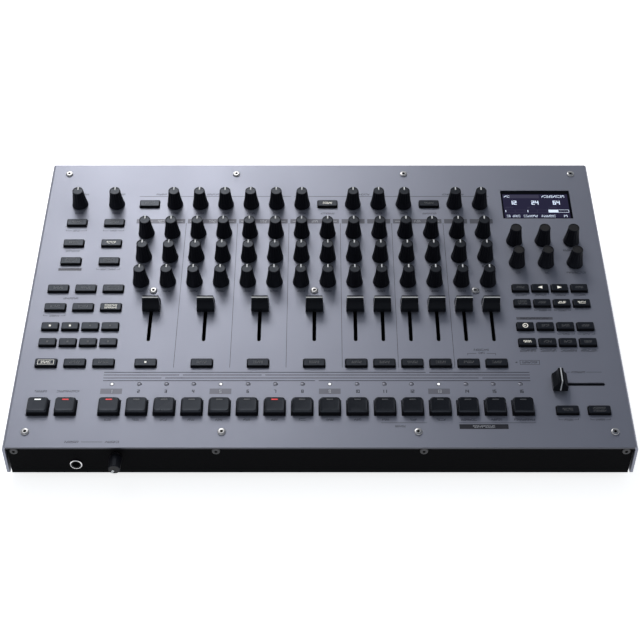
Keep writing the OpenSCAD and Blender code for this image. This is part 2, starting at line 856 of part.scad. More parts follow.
// Foot of a button or key: a flange under the panel and a plunger to the switch
module plunger(w, d, travel) {
    flange_top = -panel_t - run_gap;
    plunger_end = control_h + switch_h + travel + run_gap;
    translate([0, 0, flange_top - button_flange_t]) linear_extrude(button_flange_t)
        square([w + 2 * button_flange, d + 2 * button_flange], center = true);
    translate([-plunger_w / 2, -plunger_w / 2, plunger_end])
        cube([plunger_w, plunger_w, flange_top - plunger_end]);
}

module button(w) {
    bevelled_block(w, button_d, button_corner_r, -panel_t - run_gap, button_h, button_chamfer);
    plunger(w, button_d, button_travel);
}

module left_buttons() {
    color([0.2, 0.2, 0.21]) on_panel() {
        for (p = left_wide_places) translate(p) button(wide_w);
        for (p = left_narrow_places) translate(p) button(narrow_w);
    }
}

module centre_buttons() {
    color([0.2, 0.2, 0.21]) on_panel() for (p = centre_places) translate(p) button(wide_w);
}

module right_buttons() {
    color([0.2, 0.2, 0.21]) on_panel() {
        for (p = right_narrow_places) translate(p) button(narrow_w);
        for (p = right_wide_places) translate(p) button(wide_w);
    }
}

// A keycap: straight skirt, tapered flanks, dished top with a light window
module key() {
    low = -panel_t - run_gap;
    top_w = key_w - 2 * key_taper;
    top_d = key_d - 2 * key_taper;
    edge = 0.3;
    edge_drop = 0.5;
    difference() {
        intersection() {
            translate([0, 0, low]) linear_extrude(key_h - low)
                polygon(rounded_points(key_w, key_d, key_corner_r));
            across_x(key_w + cut) polygon([
                [-key_d / 2, low - cut], [key_d / 2, low - cut], [key_d / 2, key_skirt_h],
                [top_d / 2 + edge, key_h - edge_drop], [top_d / 2 - edge, key_h],
                [-top_d / 2 + edge, key_h], [-top_d / 2 - edge, key_h - edge_drop],
                [-key_d / 2, key_skirt_h]
            ]);
            along_v(key_d + cut) polygon(concat(
                [[-key_w / 2, low - cut], [key_w / 2, low - cut], [key_w / 2, key_skirt_h],
                 [top_w / 2 + edge, key_h - edge_drop]],
                [for (t = [1 : -0.25 : -1])
                    [t * top_w / 2, key_h - key_dish * (1 - t * t)]],
                [[-top_w / 2 - edge, key_h - edge_drop], [-key_w / 2, key_skirt_h]]
            ));
        }
        translate([-key_window_w / 2, top_d / 2 - key_window_d, key_h - key_dish - key_window_t])
            cube([key_window_w, key_window_d + 2 * key_taper, 4 * key_window_t]);
    }
    plunger(key_w, key_d, key_travel);
}

module start_key() {
    color([0.22, 0.22, 0.23]) on_panel() translate([start_x, keys_v]) key();
}

module stop_key() {
    color([0.22, 0.22, 0.23]) on_panel() translate([stop_x, keys_v]) key();
}

module step_keys() {
    color([0.22, 0.22, 0.23]) on_panel()
    for (i = [0 : step_count - 1]) translate([key_x(i), keys_v]) key();
}

module key_switches() {
    color([0.15, 0.15, 0.16]) on_panel()
    for (p = concat(wide_places, narrow_places, key_places))
        translate([p[0], p[1], control_h]) {
            translate([-switch_w / 2, -switch_w / 2, 0])
                cube([switch_w, switch_w, switch_h - switch_button_h]);
            cylinder(d = switch_button_d, h = switch_h, $fn = 24);
        }
}

module step_lights() {
    lens_low = control_h;
    color([0.9, 0.9, 0.88]) on_panel()
    for (i = [0 : step_count - 1]) translate([key_x(i), lights_v, 0]) rotate_extrude($fn = 24)
        polygon([
            [0, lens_low], [light_d / 2, lens_low], [light_d / 2, light_out - 0.3],
            [light_d / 2 - 0.5, light_out], [0, light_out]
        ]);
}

// ---- Display ----

module display_window() {
    color([0.05, 0.05, 0.06]) on_panel()
    translate([display_x, display_v, -window_sink - window_t]) linear_extrude(window_t)
        polygon(rounded_points(window_w, window_d, 0.6));
}

module display_module() {
    top_h = -panel_t - seat_gap;
    step_t = panel_t + seat_gap - window_sink - window_t;
    color([0.12, 0.13, 0.15]) on_panel() translate([display_x, display_v, 0]) {
        translate([-module_w / 2, -module_d / 2, control_h])
            cube([module_w, module_d, top_h - control_h]);
        translate([-window_w / 2 + glass_inset, -window_d / 2 + glass_inset, top_h])
            cube([window_w - 2 * glass_inset, window_d - 2 * glass_inset, step_t]);
    }
}

// ---- Sockets ----

// A socket for a quarter inch plug. The mouth faces the rear, the body's front
// face lies against the inside of the wall, and body is [x, y, z].
module jack(body, collar_out, with_nut) {
    difference() {
        union() {
            translate([-body[0] / 2, -sheet_t - body[1], -body[2] / 2]) cube(body);
            translate([0, -sheet_t - cut, 0])
                rear_rod(jack_collar_d, sheet_t + collar_out + cut);
            if (with_nut) rotate([-90, 0, 0]) cylinder(d = nut_d, h = nut_h, $fn = 6);
        }
        translate([0, collar_out - jack_bore_len - sheet_t, 0])
            rear_rod(plug_bore_d, jack_bore_len + sheet_t + cut);
    }
}

module output_jacks() {
    color([0.12, 0.12, 0.13]) for (i = [0 : jack_count - 1])
        at_rear(jack_first_x - i * jack_pitch, main_top_z + jack_rise)
            jack(jack_body, jack_out, true);
}

module phones_jack() {
    color([0.2, 0.2, 0.21]) translate([phones_x, front_wall_y, phones_z]) rotate(180)
        jack(phones_body, phones_out, false);
}

// A round five pin socket: a ring groove round an insert with five holes
module din_socket() {
    groove_d = 13.4;
    insert_d = 11;
    pins_r = 3.75;
    pin_hole_d = 1.6;
    collar_out = 1;
    groove_l = 7;
    difference() {
        union() {
            translate([-din_body[0] / 2, -sheet_t - din_body[1], -din_rise]) cube(din_body);
            translate([0, -sheet_t - cut, 0]) rear_rod(din_collar_d, sheet_t + collar_out + cut);
        }
        difference() {
            translate([0, collar_out - groove_l, 0]) rear_rod(groove_d, groove_l + cut);
            translate([0, -groove_l - cut, 0]) rear_rod(insert_d, groove_l + cut);
        }
        for (a = [0 : 45 : 180]) rotate([0, a, 0]) translate([pins_r, -groove_l, 0])
            rear_rod(pin_hole_d, groove_l + cut, $fn = 16);
    }
}

module mini_socket() {
    collar_out = 2;
    nut_t = 1.4;
    bore_in = 8;
    difference() {
        union() {
            translate([-mini_body[0] / 2, -sheet_t - mini_body[1], -mini_rise]) cube(mini_body);
            translate([0, -sheet_t - cut, 0]) rear_rod(mini_collar_d, sheet_t + collar_out + cut);
            rear_rod(mini_collar_d + 2, nut_t);
        }
        translate([0, -bore_in, 0]) rear_rod(mini_bore_d, bore_in + collar_out + cut);
    }
}

module usb_socket() {
    shell = [usb_body[0], usb_body[1] + sheet_t, usb_body[2]];
    tongue = [5.6, 3.2];
    difference() {
        translate([-shell[0] / 2, -shell[1], -shell[2] / 2]) cube(shell);
        difference() {
            translate([-usb_mouth[0] / 2, -usb_mouth[1], -usb_mouth[2] / 2])
                cube([usb_mouth[0], usb_mouth[1] + cut, usb_mouth[2]]);
            translate([-tongue[0] / 2, -usb_mouth[1] - cut, -tongue[1] / 2])
                cube([tongue[0], usb_mouth[1], tongue[1]]);
        }
    }
}

module dc_socket() {
    bore_l = 10;
    pin_d = 2;
    difference() {
        translate([-dc_body[0] / 2, -sheet_t - dc_body[1], -dc_rise]) cube(dc_body);
        translate([0, -bore_l, 0]) rear_rod(dc_bore_d, bore_l + cut);
    }
    translate([0, -bore_l - cut, 0]) rear_rod(pin_d, bore_l + cut - sheet_t);
}

// Frame of the power rocker: a bezel outside the wall and a box inside it
module rocker_frame() {
    depth = 12;
    bezel_t = 1.6;
    bezel_rim = 1.4;
    back_t = 2;
    bezel = [rocker_box[0] + 2 * bezel_rim, bezel_t, rocker_box[1] + 2 * bezel_rim];
    hole = [rocker_w + 2 * rocker_play[0], depth + bezel_t, rocker_l + 2 * rocker_play[1]];
    difference() {
        union() {
            translate([-bezel[0] / 2, 0, -bezel[2] / 2]) cube(bezel);
            translate([-rocker_box[0] / 2, -depth, -rocker_box[1] / 2])
                cube([rocker_box[0], depth + cut, rocker_box[1]]);
        }
        translate([-hole[0] / 2, -depth + back_t, -hole[2] / 2]) cube(hole);
    }
}

module rear_sockets() {
    color([0.15, 0.15, 0.16]) {
        for (x = din_x) at_rear(x, main_top_z + din_rise) din_socket();
        for (x = mini_x) at_rear(x, main_top_z + mini_rise) mini_socket();
        at_rear(usb_x, main_top_z + usb_body[2] / 2) usb_socket();
        at_rear(dc_x, main_top_z + dc_rise) dc_socket();
        at_rear(rocker_x, rocker_z) rocker_frame();
    }
}

module power_rocker() {
    face_y = 3.2;
    valley_y = 1.8;
    back_y = -3.4;
    back_inset = 2;
    color([0.1, 0.1, 0.1]) at_rear(rocker_x, rocker_z)
    translate([0, -rocker_pivot_in, 0]) rotate([-rocker_tilt, 0, 0]) across_x(rocker_w) polygon([
        [back_y, -rocker_l / 2 + back_inset], [valley_y, -rocker_l / 2], [face_y, -rocker_l / 2],
        [valley_y, 0], [face_y, rocker_l / 2], [valley_y, rocker_l / 2],
        [back_y, rocker_l / 2 - back_inset]
    ]);
}

top_panel();
left_side_wall();
right_side_wall();
front_wall();
rear_wall();
bottom_cover();
rubber_feet();
case_screws();
board_pillars();
control_board();
main_board();
ribbon_cable();
rotary_pots();
slide_pots();
key_switches();
step_lights();
display_window();
display_module();
output_jacks();
rear_sockets();
phones_jack();
channel_knobs();
for (i = [1 : len(top_knob_places)]) top_knob(i);
for (i = [1 : len(encoder_places)]) encoder(i);
volume_knob();
power_rocker();
for (i = [1 : len(channel_columns)]) channel_fader(i);
cross_fader();
start_key();
stop_key();
step_keys();
left_buttons();
centre_buttons();
right_buttons();
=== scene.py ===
"""Looks of the drum machine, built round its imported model.

Panel places are (x, v, h) in millimetres: x from the middle, v up the slope from the panel's front
edge, h out of its upper face. The matrix PANEL turns them into the frame.
"""

import json
import math
import random

import bmesh
import bpy
from mathutils import Matrix, Vector

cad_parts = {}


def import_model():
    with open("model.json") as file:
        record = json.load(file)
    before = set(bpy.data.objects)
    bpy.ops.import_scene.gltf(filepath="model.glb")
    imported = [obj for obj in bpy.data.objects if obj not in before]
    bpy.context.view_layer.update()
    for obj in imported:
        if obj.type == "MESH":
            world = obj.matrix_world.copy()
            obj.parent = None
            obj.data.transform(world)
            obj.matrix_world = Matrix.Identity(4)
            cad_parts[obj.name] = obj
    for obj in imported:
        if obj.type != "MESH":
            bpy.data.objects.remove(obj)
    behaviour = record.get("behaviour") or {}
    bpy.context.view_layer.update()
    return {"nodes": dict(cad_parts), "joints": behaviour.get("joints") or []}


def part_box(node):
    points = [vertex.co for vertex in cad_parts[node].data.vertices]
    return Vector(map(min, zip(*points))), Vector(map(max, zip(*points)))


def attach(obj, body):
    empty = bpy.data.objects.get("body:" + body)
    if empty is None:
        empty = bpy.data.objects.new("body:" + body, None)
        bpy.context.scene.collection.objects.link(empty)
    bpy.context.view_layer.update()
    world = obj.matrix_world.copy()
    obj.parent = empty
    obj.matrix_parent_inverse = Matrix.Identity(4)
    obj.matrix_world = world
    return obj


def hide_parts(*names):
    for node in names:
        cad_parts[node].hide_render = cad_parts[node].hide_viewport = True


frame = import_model()

MM = 0.001
SLOPE = math.radians(8)
SHEET = 2.0  # thickness of the folded cover

# ---- The panel's own frame and the walls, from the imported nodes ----

panel_low, panel_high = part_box("top_panel")
PANEL_LEN = ((panel_high.y - panel_low.y) / MM - SHEET * math.sin(SLOPE)) / math.cos(SLOPE)
FRONT_Z = panel_high.z - PANEL_LEN * MM * math.sin(SLOPE)
PANEL = Matrix.Translation((0, panel_low.y, FRONT_Z)) @ Matrix.Rotation(SLOPE, 4, "X")
HALF_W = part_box("right_side_wall")[1].x / MM
FRONT_HALF_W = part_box("front_wall")[1].x / MM
FRONT_WALL_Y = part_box("front_wall")[0].y / MM
REAR_WALL_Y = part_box("rear_wall")[1].y / MM

# ---- Camera, lamps, backdrop and floor, in metres, degrees and watts ----

CAMERA_AT = (0, -0.8267, 0.7883)
CAMERA_DOWN = 42.3
LENS = 73.94
SENSOR = 36

camera = bpy.data.objects.new("camera", bpy.data.cameras.new("camera"))
bpy.context.scene.collection.objects.link(camera)
camera.data.lens = LENS
camera.data.sensor_width = SENSOR
camera.data.clip_start = 0.05
camera.location = CAMERA_AT
camera.rotation_euler = (math.radians(90 - CAMERA_DOWN), 0, 0)
bpy.context.scene.camera = camera
bpy.context.scene.view_settings.view_transform = "Standard"


def area_light(name, at, aim, size, power, colour=(1, 1, 1)):
    lamp = bpy.data.lights.new(name, "AREA")
    lamp.shape = "RECTANGLE"
    lamp.size, lamp.size_y = size
    lamp.energy = power
    lamp.color = colour
    o = bpy.data.objects.new(name, lamp)
    bpy.context.scene.collection.objects.link(o)
    o.location = at
    o.rotation_euler = (Vector(aim) - Vector(at)).to_track_quat("-Z", "Y").to_euler()
    o.visible_camera = False


# The softboxes stand behind the object on its left, so the panel's paint darkens towards the right
SOFTBOX_AIM = (-0.13, 0.05, 0.08)
SOFTBOX_COLOUR = (1, 0.985, 0.955)
area_light("rear_softbox", (-0.32, 1.24, 1.26), SOFTBOX_AIM, (0.7, 0.5), 8.7, SOFTBOX_COLOUR)
area_light("near_softbox", (-0.33, 0.6, 1.05), SOFTBOX_AIM, (0.5, 0.5), 1.8, SOFTBOX_COLOUR)
area_light("front_fill", (-0.3, -1.5, 0.8), (0, 0, 0.03), (1.6, 0.8), 2.0)
area_light("top_fill", (-0.6, 0.3, 1.6), (0, 0, 0.05), (1.0, 1.0), 1.4)


def nodes_of(material):
    material.use_nodes = True
    tree = material.node_tree
    tree.nodes.clear()
    return tree.nodes, tree.links


def backdrop_rays(nodes, links):
    """1 for the rays that see the backdrop as it is: camera, glossy and transmission rays."""
    path = nodes.new("ShaderNodeLightPath")
    seen = path.outputs["Is Camera Ray"]
    for kind in ("Is Glossy Ray", "Is Transmission Ray"):
        either = nodes.new("ShaderNodeMath")
        either.operation = "MAXIMUM"
        links.new(seen, either.inputs[0])
        links.new(path.outputs[kind], either.inputs[1])
        seen = either.outputs[0]
    return seen


# The backdrop is white up to BACKDROP_TOP, and from CEILING_START on it is a dimmer studio ceiling.
# Both are the sine of a height over the horizon, about 25 and 37 degrees
BACKDROP_TOP = 0.42
CEILING_START = 0.6
CEILING = (0.122, 0.14, 0.175)
# What the object is lit by from all round
STUDIO_COLOUR = (0.83, 0.91, 1)
STUDIO_LIGHT = 0.29


def world():
    w = bpy.data.worlds.new("studio")
    bpy.context.scene.world = w
    nodes, links = nodes_of(w)
    out = nodes.new("ShaderNodeOutputWorld")
    mix = nodes.new("ShaderNodeMixShader")
    seen = nodes.new("ShaderNodeBackground")
    lit = nodes.new("ShaderNodeBackground")
    direction = nodes.new("ShaderNodeTexCoord")
    split = nodes.new("ShaderNodeSeparateXYZ")
    links.new(direction.outputs["Generated"], split.inputs[0])
    height = nodes.new("ShaderNodeMapRange")
    height.interpolation_type = "SMOOTHSTEP"
    height.inputs["From Min"].default_value = BACKDROP_TOP
    height.inputs["From Max"].default_value = CEILING_START
    links.new(split.outputs["Z"], height.inputs["Value"])
    fade = nodes.new("ShaderNodeMix")
    fade.data_type = "RGBA"
    links.new(height.outputs[0], fade.inputs["Factor"])
    fade.inputs["A"].default_value = (1, 1, 1, 1)
    fade.inputs["B"].default_value = (*CEILING, 1)
    links.new(fade.outputs["Result"], seen.inputs["Color"])
    lit.inputs["Color"].default_value = (*STUDIO_COLOUR, 1)
    lit.inputs["Strength"].default_value = STUDIO_LIGHT
    links.new(backdrop_rays(nodes, links), mix.inputs[0])
    links.new(lit.outputs[0], mix.inputs[1])
    links.new(seen.outputs[0], mix.inputs[2])
    links.new(mix.outputs[0], out.inputs["Surface"])


world()


def link_mesh(name, bm):
    mesh = bpy.data.meshes.new(name)
    bm.to_mesh(mesh)
    bm.free()
    o = bpy.data.objects.new(name, mesh)
    bpy.context.scene.collection.objects.link(o)
    return o


FLOOR_HALF = 4
FLOOR_COLOUR = (0.86, 0.86, 0.86)
FLOOR_GLOW = 0.79  # lifts the floor to the backdrop's white, for the rays that see the backdrop


def make_floor():
    bm = bmesh.new()
    bmesh.ops.create_grid(bm, x_segments=1, y_segments=1, size=FLOOR_HALF)
    o = link_mesh("floor", bm)
    m = bpy.data.materials.new("floor")
    nodes, links = nodes_of(m)
    out = nodes.new("ShaderNodeOutputMaterial")
    base = nodes.new("ShaderNodeBsdfDiffuse")
    base.inputs["Color"].default_value = (*FLOOR_COLOUR, 1)
    glow = nodes.new("ShaderNodeEmission")
    glow.inputs["Color"].default_value = (1, 1, 1, 1)
    glow.inputs["Strength"].default_value = FLOOR_GLOW
    add = nodes.new("ShaderNodeAddShader")
    mix = nodes.new("ShaderNodeMixShader")
    links.new(base.outputs[0], add.inputs[0])
    links.new(glow.outputs[0], add.inputs[1])
    links.new(backdrop_rays(nodes, links), mix.inputs[0])
    links.new(base.outputs[0], mix.inputs[1])
    links.new(add.outputs[0], mix.inputs[2])
    links.new(mix.outputs[0], out.inputs["Surface"])
    o.data.materials.append(m)


make_floor()

# ---- Materials ----

MOTTLE_SCALE = 14
RELIEF = 0.0004  # depth of the grain, in metres
COAT_ROUGH = 0.12


def finish(
    name,
    colour,
    rough,
    metallic=0.0,
    mottle=0.06,
    grain=900.0,
    bump=0.02,
    coat=0.0,
    stretch=(1, 1, 1),
    glow=None,
    strength=0.0,
    rough_spread=0.06,
    specular=0.5,
    tint=(1, 1, 1),
):
    """A moulded, painted or metal surface: fine grain in its bump, and slight changes of colour and gloss."""
    m = bpy.data.materials.new(name)
    nodes, links = nodes_of(m)
    out = nodes.new("ShaderNodeOutputMaterial")
    shader = nodes.new("ShaderNodeBsdfPrincipled")
    links.new(shader.outputs[0], out.inputs["Surface"])
    shader.inputs["Metallic"].default_value = metallic
    shader.inputs["Specular IOR Level"].default_value = specular
    shader.inputs["Specular Tint"].default_value = (*tint, 1)
    shader.inputs["Coat Weight"].default_value = coat
    shader.inputs["Coat Roughness"].default_value = COAT_ROUGH
    coords = nodes.new("ShaderNodeTexCoord")
    mapping = nodes.new("ShaderNodeMapping")
    mapping.inputs["Scale"].default_value = stretch
    links.new(coords.outputs["Object"], mapping.inputs["Vector"])
    fine = nodes.new("ShaderNodeTexNoise")
    fine.inputs["Scale"].default_value = grain
    fine.inputs["Detail"].default_value = 4
    links.new(mapping.outputs[0], fine.inputs["Vector"])
    wide = nodes.new("ShaderNodeTexNoise")
    wide.inputs["Scale"].default_value = MOTTLE_SCALE
    wide.inputs["Detail"].default_value = 3
    links.new(coords.outputs["Object"], wide.inputs["Vector"])
    both = nodes.new("ShaderNodeMath")
    both.operation = "ADD"
    links.new(fine.outputs["Fac"], both.inputs[0])
    links.new(wide.outputs["Fac"], both.inputs[1])
    half = nodes.new("ShaderNodeMath")
    half.operation = "MULTIPLY"
    half.inputs[1].default_value = 0.5
    links.new(both.outputs[0], half.inputs[0])
    ramp = nodes.new("ShaderNodeMapRange")
    ramp.inputs["To Min"].default_value = 1 - mottle
    ramp.inputs["To Max"].default_value = 1 + mottle
    links.new(half.outputs[0], ramp.inputs["Value"])
    base = nodes.new("ShaderNodeVectorMath")
    base.operation = "SCALE"
    base.inputs[0].default_value = colour
    links.new(ramp.outputs[0], base.inputs["Scale"])
    links.new(base.outputs[0], shader.inputs["Base Color"])
    gloss = nodes.new("ShaderNodeMapRange")
    gloss.inputs["To Min"].default_value = max(0.02, rough - rough_spread)
    gloss.inputs["To Max"].default_value = min(1, rough + rough_spread)
    links.new(wide.outputs["Fac"], gloss.inputs["Value"])
    links.new(gloss.outputs[0], shader.inputs["Roughness"])
    relief = nodes.new("ShaderNodeBump")
    relief.inputs["Strength"].default_value = bump
    relief.inputs["Distance"].default_value = RELIEF
    links.new(fine.outputs["Fac"], relief.inputs["Height"])
    links.new(relief.outputs[0], shader.inputs["Normal"])
    if glow:
        shader.inputs["Emission Color"].default_value = (*glow, 1)
        shader.inputs["Emission Strength"].default_value = strength
    return m


# Painted sheet and its print
PAINT = finish("cover_paint", (0.266, 0.278, 0.338), 0.46, metallic=0.7, mottle=0.03, grain=2600, bump=0.12)
# Painted shade: a darker copy of the cover paint for the sheet's front edge
EDGE_SHADE = finish("edge_painted_shade", (0.075, 0.077, 0.092), 0.5, metallic=0.6, mottle=0.03)
INK = finish("print_grey", (0.125, 0.127, 0.152), 0.46, metallic=0.6, mottle=0.03)
# Painted light: the beat numbers' bars are grey print, made lighter than the head bars' grey
INK_PAINTED_LIGHTER = finish("print_grey_painted_lighter", (0.165, 0.168, 0.2), 0.46, metallic=0.65, mottle=0.03)
# Dark print; it also draws the painted shade beside the unlit lights
INK_DARK_AND_SHADE = finish("print_dark", (0.02, 0.021, 0.03), 0.55, metallic=0.15, mottle=0.05, specular=0.35)
INK_PALE = finish("print_pale", (0.42, 0.43, 0.47), 0.5, metallic=0.3, mottle=0.03)
BLACK_PAINT = finish(
    "chassis_paint", (0.0038, 0.0039, 0.0047), 0.5, mottle=0.25, grain=1900, bump=0.35, specular=0.02
)

# Rubber, metals and what lies inside
RUBBER = finish("foot_rubber", (0.02, 0.02, 0.02), 0.85, mottle=0.2, grain=700, bump=0.4, specular=0.2)
# Painted shade: the panel screws' steel darkened for the front wall's shade; the rear wall's screws share it
WALL_SCREW_SHADE = finish("wall_screw_painted_shade", (0.06, 0.06, 0.063), 0.38, metallic=1, grain=1400, bump=0.05)
STEEL = finish("screw_steel", (0.46, 0.46, 0.465), 0.32, metallic=1, grain=1400, bump=0.05)
NICKEL = finish("nickel", (0.78, 0.78, 0.79), 0.16, metallic=1, grain=900, bump=0.02)
BOARD = finish("board_green", (0.02, 0.13, 0.06), 0.35, mottle=0.15, grain=400, coat=0.4)
CABLE = finish("cable_grey", (0.4, 0.4, 0.42), 0.6, stretch=(1, 0.02, 0.02), grain=780, bump=0.6)
POT = finish("pot_steel", (0.4, 0.4, 0.41), 0.34, metallic=1)
# Black of the parts inside; in the screws' hex sockets it is painted shade in the recess
INNER_BLACK_AND_SHADE = finish("inner_black", (0.006, 0.006, 0.007), 0.7, bump=0.1, specular=0.1)
SOCKET = finish("socket_black", (0.018, 0.018, 0.02), 0.45, mottle=0.15, bump=0.15, specular=0.3)

# Black plastics. COOL is the bluish tint of their gloss
COOL = (0.73, 0.82, 1)
KNOB = finish(
    "knob_black", (0.0038, 0.0039, 0.0058), 0.45, mottle=0.2, grain=1500, bump=0.2, specular=0.2, tint=COOL
)
KNOB_TOP = finish(
    "knob_top", (0.017, 0.0182, 0.022), 0.32, mottle=0.1, grain=1500, bump=0.12, specular=0.29, tint=COOL
)
ENCODER_TOP = finish(
    "encoder_top", (0.009, 0.009, 0.011), 0.5, mottle=0.1, grain=1500, bump=0.15, specular=0.3
)
FADER = finish(
    "fader_black", (0.0105, 0.0115, 0.014), 0.42, mottle=0.15, grain=1300, bump=0.12, specular=0.06, tint=COOL
)
KEY = finish(
    "key_charcoal", (0.006, 0.0065, 0.0085), 0.26, mottle=0.12, grain=1500, bump=0.1, specular=0.34, tint=COOL
)
# Painted shade: a darker, duller copy of the keys' and buttons' plastic, for their walls and the buttons' rim
CAP_SIDE_SHADE = finish(
    "cap_side_painted_shade",
    (0.0035, 0.0035, 0.0045),
    0.5,
    mottle=0.15,
    grain=1500,
    bump=0.1,
    specular=0.08,
    tint=COOL,
)
BUTTON = finish(
    "button_charcoal",
    (0.0085, 0.0093, 0.0125),
    0.33,
    mottle=0.12,
    grain=1500,
    bump=0.12,
    specular=0.4,
    tint=COOL,
)

# Pointers, legends and lights
POINTER = finish("pointer_white", (0.9, 0.9, 0.9), 0.45, mottle=0.03)
FADER_LINE = finish("fader_line", (0.75, 0.76, 0.77), 0.4, mottle=0.03)
LEGEND_DIM = finish("legend_dim", (0.135, 0.137, 0.145), 0.6, specular=0.3)
LEGEND_LIT = finish("legend_lit", (0.8, 0.78, 0.7), 0.5, glow=(1, 0.98, 0.9), strength=0.5)
LIGHT_WHITE = finish("light_white", (0.9, 0.9, 0.9), 0.4, glow=(1, 1, 1), strength=0.9)
LIGHT_RED = finish("light_red", (0.7, 0.04, 0.04), 0.4, glow=(0.75, 0.035, 0.035), strength=0.75)
# Painted light: the red glow of the lit slits on their keys' faces
PAINTED_RED_LIGHT = finish("red_spill", (0.05, 0.012, 0.012), 0.45, glow=(0.5, 0.015, 0.015), strength=0.12)
LIGHT_OFF = finish("light_off", (0.075, 0.077, 0.085), 0.35)
LENS_OFF = finish("lens_off", (0.26, 0.265, 0.31), 0.44, metallic=0.6)

# The display
GLASS = finish(
    "window_acrylic", (0.001, 0.0012, 0.003), 0.12, mottle=0.05, bump=0, rough_spread=0.02, specular=0.2
)
SCREEN = finish(
    "screen_field", (0.004, 0.004, 0.007), 0.2, glow=(0.015, 0.013, 0.036), strength=1, specular=0.3
)
SCREEN_BAR = finish(
    "screen_bar", (0.005, 0.005, 0.008), 0.2, glow=(0.04, 0.038, 0.068), strength=1, specular=0.3
)
SCREEN_LIT = finish("screen_lit", (0.5, 0.55, 0.62), 0.3, glow=(0.72, 0.82, 1), strength=0.75)

NODE_FINISH = {
    "top_panel": PAINT,
    "left_side_wall": PAINT,
    "right_side_wall": PAINT,
    "front_wall": BLACK_PAINT,
    "rear_wall": BLACK_PAINT,
    "bottom_cover": BLACK_PAINT,
    "rubber_feet": RUBBER,
    "board_pillars": STEEL,
    "control_board": BOARD,
    "main_board": BOARD,
    "ribbon_cable": CABLE,
    "rotary_pots": POT,
    "slide_pots": INNER_BLACK_AND_SHADE,
    "key_switches": INNER_BLACK_AND_SHADE,
    "display_module": INNER_BLACK_AND_SHADE,
    "display_window": GLASS,
    "output_jacks": SOCKET,
    "rear_sockets": SOCKET,
    "phones_jack": SOCKET,
    "power_rocker": SOCKET,
}
for node, material in NODE_FINISH.items():
    cad = frame["nodes"][node]
    cad.data.materials.clear()
    cad.data.materials.append(material)

# ---- Mesh helpers. Lengths in millimetres, turned to metres by place() ----

SMOOTH_TO = math.radians(30)  # edges that bend more than this stay sharp
CORNER_STEPS = 4


def place(name, bm, materials, body, matrix, flat=False):
    """Puts a mesh drawn in millimetres into the frame and lets it ride on a body."""
    if not flat:
        bmesh.ops.recalc_face_normals(bm, faces=bm.faces)
    bm.transform(matrix @ Matrix.Scale(MM, 4))
    for face in bm.faces:
        face.smooth = True
    for edge in bm.edges:
        if len(edge.link_faces) == 2 and edge.calc_face_angle(0) > SMOOTH_TO:
            edge.smooth = False
    o = link_mesh(name, bm)
    for m in materials:
        o.data.materials.append(m)
    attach(o, body)
    return o


def shift(x, v, turn=0.0):
    return Matrix.Translation((x, v, 0)) @ Matrix.Rotation(turn, 4, "Z")


def add_rings(bm, rings, closed_low=True, closed_high=True, at=None, slots=None):
    """Skins a list of rings, each a list of points, and closes its ends."""
    at = at or Matrix.Identity(4)
    made = [[bm.verts.new(at @ Vector(p)) for p in ring] for ring in rings]
    for k, (a, b) in enumerate(zip(made, made[1:])):
        for i in range(len(a)):
            j = (i + 1) % len(a)
            f = bm.faces.new((a[i], a[j], b[j], b[i]))
            if slots:
                f.material_index = slots[k]
    if closed_low:
        bm.faces.new(list(reversed(made[0])))
    if closed_high:
        f = bm.faces.new(made[-1])
        if slots:
            f.material_index = slots[-1]
    return made


def add_hoop(bm, rings, at=None, slots=None):
    """Skins a list of rings and joins the last one to the first, as round a collar."""
    made = add_rings(bm, rings, closed_low=False, closed_high=False, at=at, slots=slots)
    first, last = made[0], made[-1]
    for i in range(len(first)):
        j = (i + 1) % len(first)
        bm.faces.new((last[i], last[j], first[j], first[i]))


def add_box(bm, x0, y0, z0, x1, y1, z1, at=None, slot=0):
    ring = [(x0, y0), (x1, y0), (x1, y1), (x0, y1)]
    add_rings(bm, [[(x, y, z0) for x, y in ring], [(x, y, z1) for x, y in ring]], at=at, slots=[slot, slot])


def rounded(w, d, r, h):
    """Points of a rounded rectangle w by d at a height."""
    r = max(0.01, min(r, w / 2 - 0.01, d / 2 - 0.01))
    points = []
    for quarter, (sx, sy) in enumerate(((1, 1), (-1, 1), (-1, -1), (1, -1))):
        for i in range(CORNER_STEPS + 1):
            a = math.radians(90 * quarter + 90 * i / CORNER_STEPS)
            points.append((sx * (w / 2 - r) + r * math.cos(a), sy * (d / 2 - r) + r * math.sin(a), h))
    return points


def circle(r, h, n):
    return [(r * math.cos(2 * math.pi * i / n), r * math.sin(2 * math.pi * i / n), h) for i in range(n)]


def polygon(r, h, sides, n):
    """n points round a regular polygon whose corners lie at r. With n sides it is a circle."""
    step = 2 * math.pi / sides
    ring = []
    for i in range(n):
        a = 2 * math.pi * i / n
        reach = r * math.cos(step / 2) / math.cos(a % step - step / 2)
        ring.append((reach * math.cos(a), reach * math.sin(a), h))
    return ring


# ---- Layout on the panel, in millimetres ----

COLUMNS = 14
COLUMN_PITCH = 22.6
COLUMNS_X = -4.7
KNOB_ROWS = 3
ROW_PITCH = 28.25
LOWEST_ROW = 168.7
TOP_ROW = 260.5
# Column of each channel's fader and button. A half lies between two columns
CHANNELS = [0.5, 2.5, 4.5, 6.5, 8, 9, 10, 11, 12, 13]
CHANNEL_BUTTON_V = 81.1
FADER_V = 140.7
FADER_TRAVEL = 34
CROSS_X = 207.2
CROSS_V = 60.5
